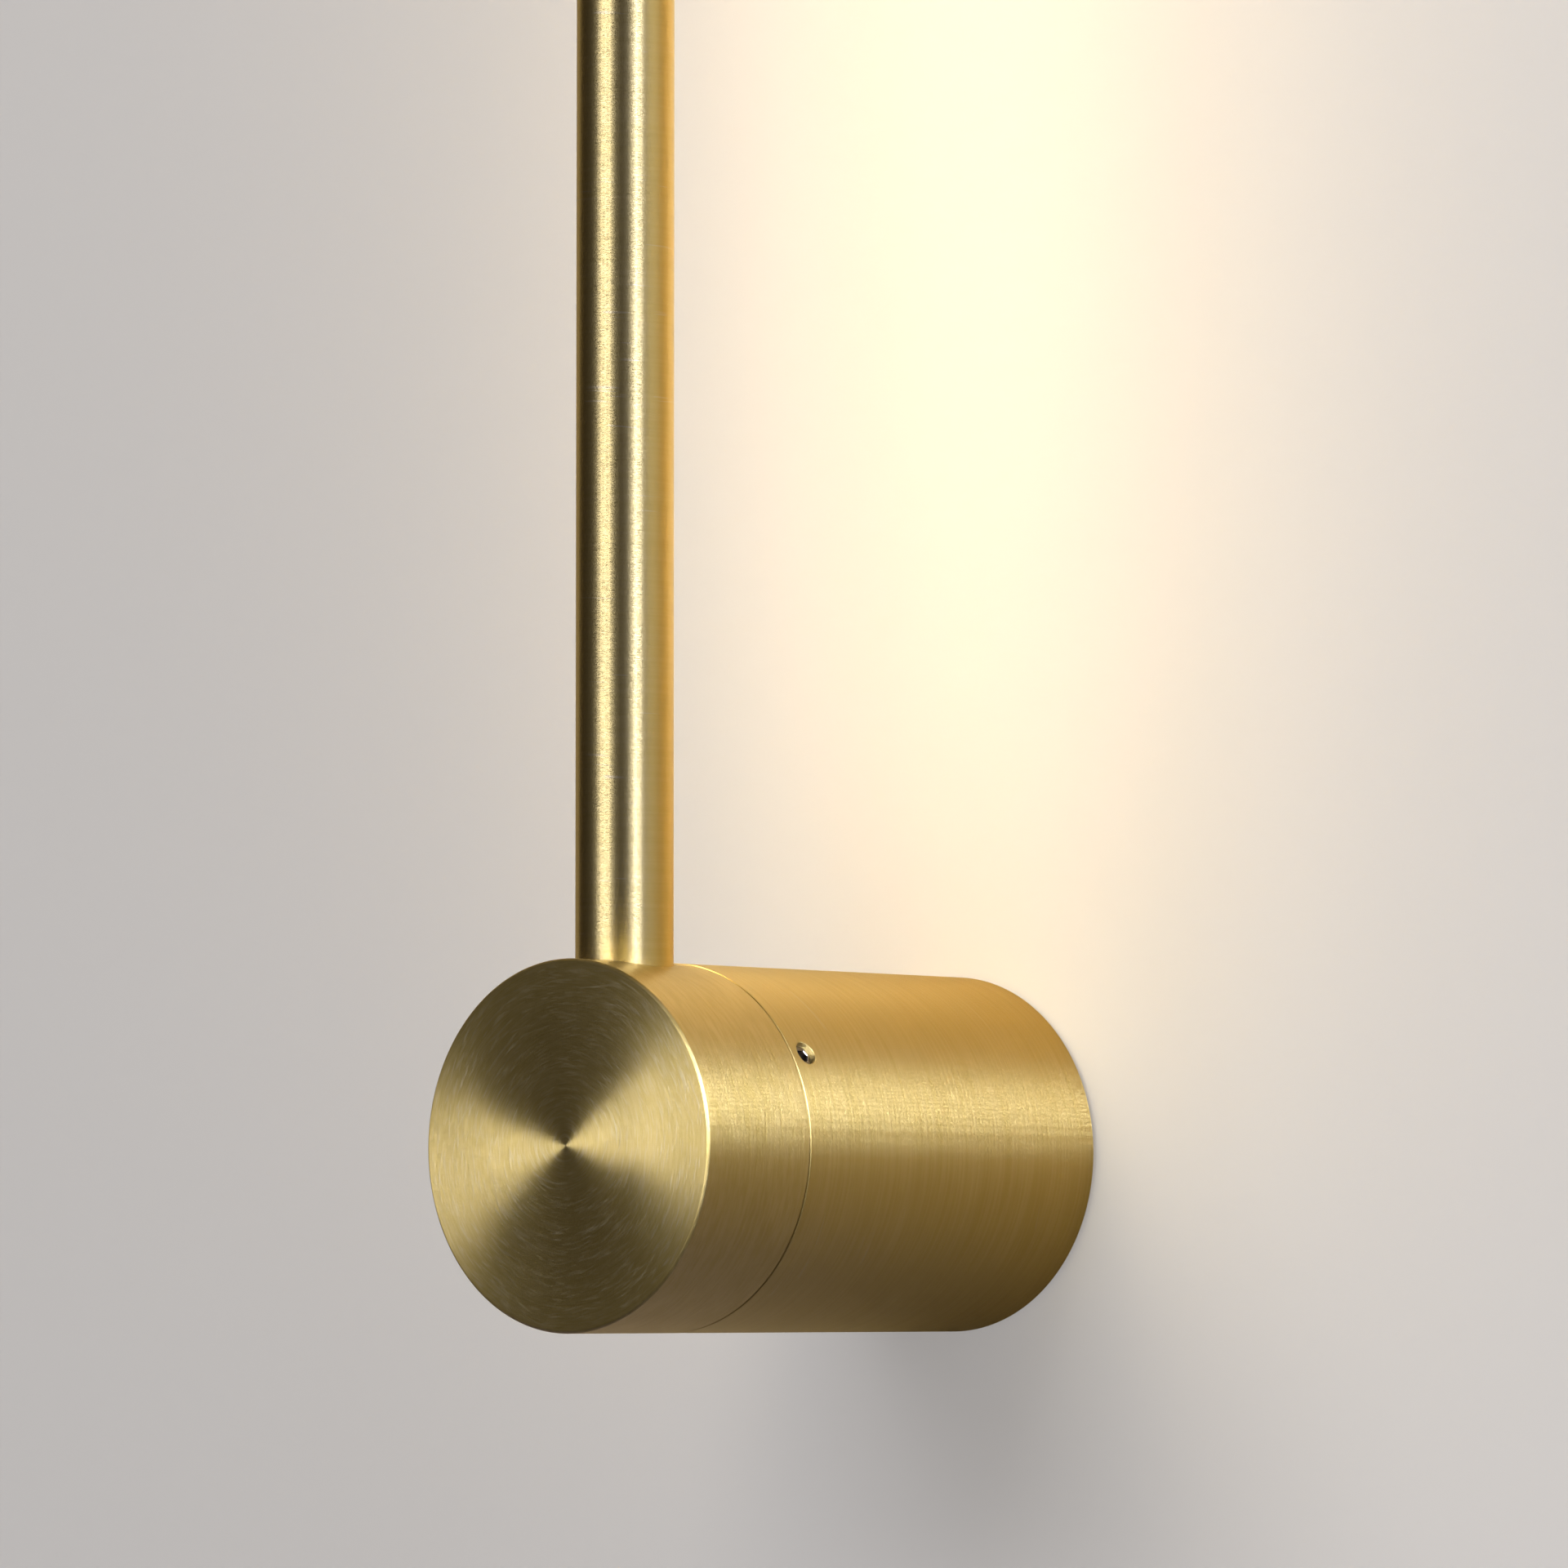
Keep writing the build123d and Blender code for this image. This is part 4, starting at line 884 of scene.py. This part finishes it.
class MakeTube(Operator):
    """Make the tall light tube, slotted along its back."""

    bl_idname = "wall_light.tube"
    bl_label = "Light tube"

    def execute(self, context):
        """Two circles of (x, y), outside and inside, carried up along z, without the slot's cells. Strips
        join them along the slot and at both ends."""
        shape, look = context.scene.light_tube, context.scene.light_brass
        low, high = TUBE_LOW.z, TUBE_HIGH.z
        slot_low, slot_high = COVER_LOW.z - shape.cover_gap, COVER_HIGH.z + shape.cover_gap
        heights = np.concatenate([
            steps(low, slot_low, 6 * MM), steps(slot_low, slot_high, 8 * MM)[1:],
            steps(slot_high, high, 2 * MM)[1:],
        ])
        surface, columns_in_slot, columns_beside = Surface(), 26, 154
        circles = []
        for radius in (shape.radius, shape.radius - shape.wall):
            edge = math.asin(shape.slot_width / 2 / radius)
            slot = np.linspace(-edge, edge, columns_in_slot + 1)
            rest = np.linspace(edge, 2 * math.pi - edge, columns_beside + 1)
            angles = np.concatenate([slot, rest[1:]])
            circles.append(arc_across(radius, angles))
            skip = window_cells(heights, angles, ((slot_low, slot_high), (-edge, edge)))
            surface.grid(upright(circles[-1], heights), skip)
        between = heights[(heights > slot_low - TINY) & (heights < slot_high + TINY)]
        for column in (0, columns_in_slot):
            surface.grid(upright(np.stack([circle[column] for circle in circles]), between))
        for height in (slot_low, slot_high):
            surface.grid(level([circle[: columns_in_slot + 1] for circle in circles], height))
        for height in (low, high):
            surface.grid(level(circles, height))
        made = piece("brushed_light_tube", surface, "head", "light_tube", tube_brass(look))
        bevel = made.modifiers.new("broken edges", "BEVEL")
        bevel.width, bevel.segments, bevel.limit_method = 0.1 * MM, 2, "ANGLE"
        bevel.angle_limit = math.radians(40)
        bevel.harden_normals = False
        return {"FINISHED"}


class MakeCap(Operator):
    """Make the cap that closes the tube's top."""

    bl_idname = "wall_light.cap"
    bl_label = "Tube cap"

    def execute(self, context):
        """A rounded profile of (radius, z) turned about the tube's axis."""
        shape, look = context.scene.light_tube, context.scene.light_brass
        top, shoulder, foot = CAP_HIGH.z, TUBE_HIGH.z, CAP_LOW.z
        radius, plug, lead = shape.radius, shape.radius - shape.wall - 0.05 * MM, 0.5 * MM
        corners = [
            (0, top), (radius - shape.cap_chamfer, top), (radius, top - shape.cap_chamfer),
            (radius, shoulder), (plug, shoulder), (plug, foot + lead), (plug - lead, foot), (0, foot),
        ]
        profile = split(rounded(corners, 0.06 * MM), 1.5 * MM)
        surface = Surface()
        surface.grid(turned_up(profile, np.linspace(0, 2 * math.pi, 181)))
        piece("brushed_tube_cap", surface, "head", "tube_cap", tube_brass(look))
        return {"FINISHED"}


class MakeCover(Operator):
    """Make the lit opal cover that snaps into the tube's slot."""

    bl_idname = "wall_light.cover"
    bl_label = "Opal cover"

    def execute(self, context):
        """An outline of (x, y) carried up along z: a crown in the slot, an arc for each wing in the tube and
        one arc for the inner face."""
        shape, lights = context.scene.light_tube, context.scene.light_studio
        outer = shape.radius - shape.cover_recess
        half = shape.slot_width / 2 - shape.cover_gap
        wing_outer = shape.radius - shape.wall - shape.cover_gap
        wing_inner = wing_outer - 1.0 * MM
        wing_half, wing_floor = COVER_HIGH.x, 2.6 * MM
        crown = np.linspace(0, math.asin(half / outer), 13)
        wing = np.linspace(math.asin(half / wing_outer), math.asin(wing_half / wing_outer), 7)
        right = np.concatenate([
            arc_across(outer, crown), arc_across(wing_outer, wing), [[wing_half, TUBE_Y + wing_floor]],
        ])
        out_line = np.concatenate([right[:0:-1] * [-1, 1], right])
        reach = math.acos(wing_floor / wing_inner)
        in_line = arc_across(wing_inner, np.linspace(-reach, reach, len(out_line)))
        heights = steps(COVER_LOW.z, COVER_HIGH.z, 8 * MM)
        surface = Surface()
        surface.grid(upright(out_line, heights))
        surface.grid(upright(in_line, heights))
        for column in (0, -1):
            surface.grid(upright(np.stack([out_line[column], in_line[column]]), heights))
        for height in (heights[0], heights[-1]):
            surface.grid(level([out_line, in_line], height))
        piece("lit_opal_cover", surface, "head", "diffuser", opal(lights))
        return {"FINISHED"}


class FinishFrame(Operator):
    """Give every carried-over node of the frame its finish."""

    bl_idname = "wall_light.frame"
    bl_label = "Inner parts"

    def execute(self, context):
        made = {}
        for row in frame["record"]["subparts"]:
            node, slot = frame["nodes"][row["node"]], row["material_slot"]
            if slot in ("brushed_brass", "opal_cover"):
                continue
            if slot not in made:
                made[slot] = slot_finish(slot)
            node.data.materials.clear()
            node.data.materials.append(made[slot])
        return {"FINISHED"}


class MakeStage(Operator):
    """Make the wall, floor, lights and camera."""

    bl_idname = "wall_light.stage"
    bl_label = "Stage"

    def execute(self, context):
        context.scene.view_settings.view_transform = "Standard"
        self.wall()
        self.floor()
        self.lights(context.scene.light_studio)
        self.room(context.scene)
        self.camera(context.scene)
        return {"FINISHED"}

    def wall(self):
        """A wall with a round hole behind the barrel: rings go over from the hole's circle to a square border
        in shares that grow with the square of the step. Its columns run backwards, to face the room."""
        half, hole, back = 2.2, 29.3 * MM, 0.3 * MM
        t = np.linspace(2 * math.pi, 0, 97)
        circle = np.stack([np.cos(t), np.sin(t)], axis=-1)
        square = circle / np.abs(circle).max(axis=1, keepdims=True) * half
        share = (np.linspace(0, 1, 9) ** 2)[:, None, None]
        flat = circle * hole + (square - circle * hole) * share
        points = np.stack([flat[..., 0], np.full(flat.shape[:2], back), flat[..., 1]], axis=-1)
        stage_piece("wall", points, painted_wall())

    def floor(self):
        """A level rectangle well below the lamp, out to the room."""
        half_width, half_depth, middle, height = 3.0, 2.0, -1.7, -0.9
        side = np.linspace(-1, 1, 9)
        x, y = np.meshgrid(side * half_width, side * half_depth + middle)
        stage_piece("floor", np.stack([x, y, np.full_like(x, height)], axis=-1), pale_floor())

    def lights(self, lights):
        """Softboxes that show in the brass, and a wash on what is matt. The tube has boxes of its own,
        because it shows them far more sharply than the barrel."""
        front, side, tall = lights.front_power, lights.side_power, 1.4
        self.softbox("front_softbox", (7.0, 0.0), 0.33, (0.64, 1.2), front * 1.16,
                     (1.0, 0.98, 0.97), "EXCLUDE")
        self.softbox("side_softbox", (67.0, 0.0), 0.705, (1.25, 0.88), side * 1.28,
                     (0.92, 0.98, 1.10), "EXCLUDE")
        self.softbox("tube_front_softbox", (-7.5, 0.0), 0.43, (0.78, tall), front * 0.66,
                     (0.96, 1.0, 1.35), "INCLUDE")
        self.softbox("tube_side_softbox", (68.0, 0.0), 0.43, (0.50, tall), side * 0.38,
                     (0.92, 1.0, 1.55), "INCLUDE")
        wash = self.softbox("wall_wash", (-8.0, 35.0), 0.0, (1.8, 1.4), lights.wash_power,
                            (1.0, 0.99, 0.98), distance=2.2)
        wash.visible_diffuse, wash.visible_glossy = True, False

    def softbox(self, name, angles, height, size, power, tint, tube=None, distance=1.5):
        """A rectangle of light that faces the lamp from an azimuth and an elevation in degrees. tube says if
        it reaches the tube only, or all the rest."""
        lamp = bpy.data.lights.new(name, "AREA")
        lamp.shape, lamp.size, lamp.size_y = "RECTANGLE", *size
        lamp.energy, lamp.color = power, tint
        made = bpy.data.objects.new(name, lamp)
        bpy.context.scene.collection.objects.link(made)
        turn, lift = map(math.radians, angles)
        way = Vector((math.sin(turn) * math.cos(lift), -math.cos(turn) * math.cos(lift), math.sin(lift)))
        made.location = Vector((0, -0.06, height)) + way * distance
        made.rotation_euler = (-way).to_track_quat("-Z", "Y").to_euler()
        made.visible_camera = made.visible_diffuse = False
        if tube:
            group = bpy.data.collections.new(name + " reach")
            made.light_linking.receiver_collection = group
            for number, piece_name in enumerate(("brushed_light_tube", "brushed_tube_cap")):
                group.objects.link(bpy.data.objects[piece_name])
                group.collection_objects[number].light_linking.link_state = tube
        return made

    def room(self, scene):
        """Dim warm light from all round."""
        scene.world = bpy.data.worlds.new("room")
        scene.world.use_nodes = True
        background = scene.world.node_tree.nodes["Background"]
        background.inputs["Color"].default_value = colour(1.0, 0.74, 0.42)
        background.inputs["Strength"].default_value = scene.light_studio.sky_strength

    def camera(self, scene):
        """The photo's view, fitted to the lamp's outline."""
        camera = bpy.data.objects.new("camera", bpy.data.cameras.new("camera"))
        scene.collection.objects.link(camera)
        camera.location = (0.833504, -1.048847, -0.023747)
        camera.rotation_euler = (math.pi / 2 + 0.06463, 0.0, 0.69312)
        camera.data.lens, camera.data.sensor_width = 181.12, 36.0
        camera.data.clip_start, camera.data.clip_end = 0.05, 30.0
        scene.camera = camera


class LightPanel(Panel):
    """The pieces and sizes of the wall light."""

    bl_idname = "VIEW3D_PT_tube_wall_light"
    bl_label = "Tube wall light"
    bl_space_type = "VIEW_3D"
    bl_region_type = "UI"
    bl_category = "Wall light"

    def draw(self, context):
        for title, group in SETTINGS.items():
            box = self.layout.box()
            box.label(text=title.replace("_", " ").capitalize())
            values = getattr(context.scene, title)
            for name in group.__annotations__:
                box.prop(values, name)
        for operator in OPERATORS:
            self.layout.operator(operator.bl_idname)


SETTINGS = {
    "light_body": BodyShape, "light_tube": TubeShape, "light_brass": BrassFinish,
    "light_studio": LightSettings,
}
OPERATORS = (
    MakeBarrel, MakePuck, MakeLockScrews, MakeTube, MakeCap, MakeCover, FinishFrame, MakeStage,
)


def register():
    for kind in (*SETTINGS.values(), *OPERATORS, LightPanel):
        bpy.utils.register_class(kind)
    for name, group in SETTINGS.items():
        setattr(bpy.types.Scene, name, PointerProperty(type=group))


def unregister():
    for name in SETTINGS:
        delattr(bpy.types.Scene, name)
    for kind in (LightPanel, *reversed(OPERATORS), *reversed(SETTINGS.values())):
        bpy.utils.unregister_class(kind)


def main():
    """Makes everything in order."""
    register()
    for operator in OPERATORS:
        group, name = operator.bl_idname.split(".")
        getattr(getattr(bpy.ops, group), name)()


if __name__ == "__main__":
    main()
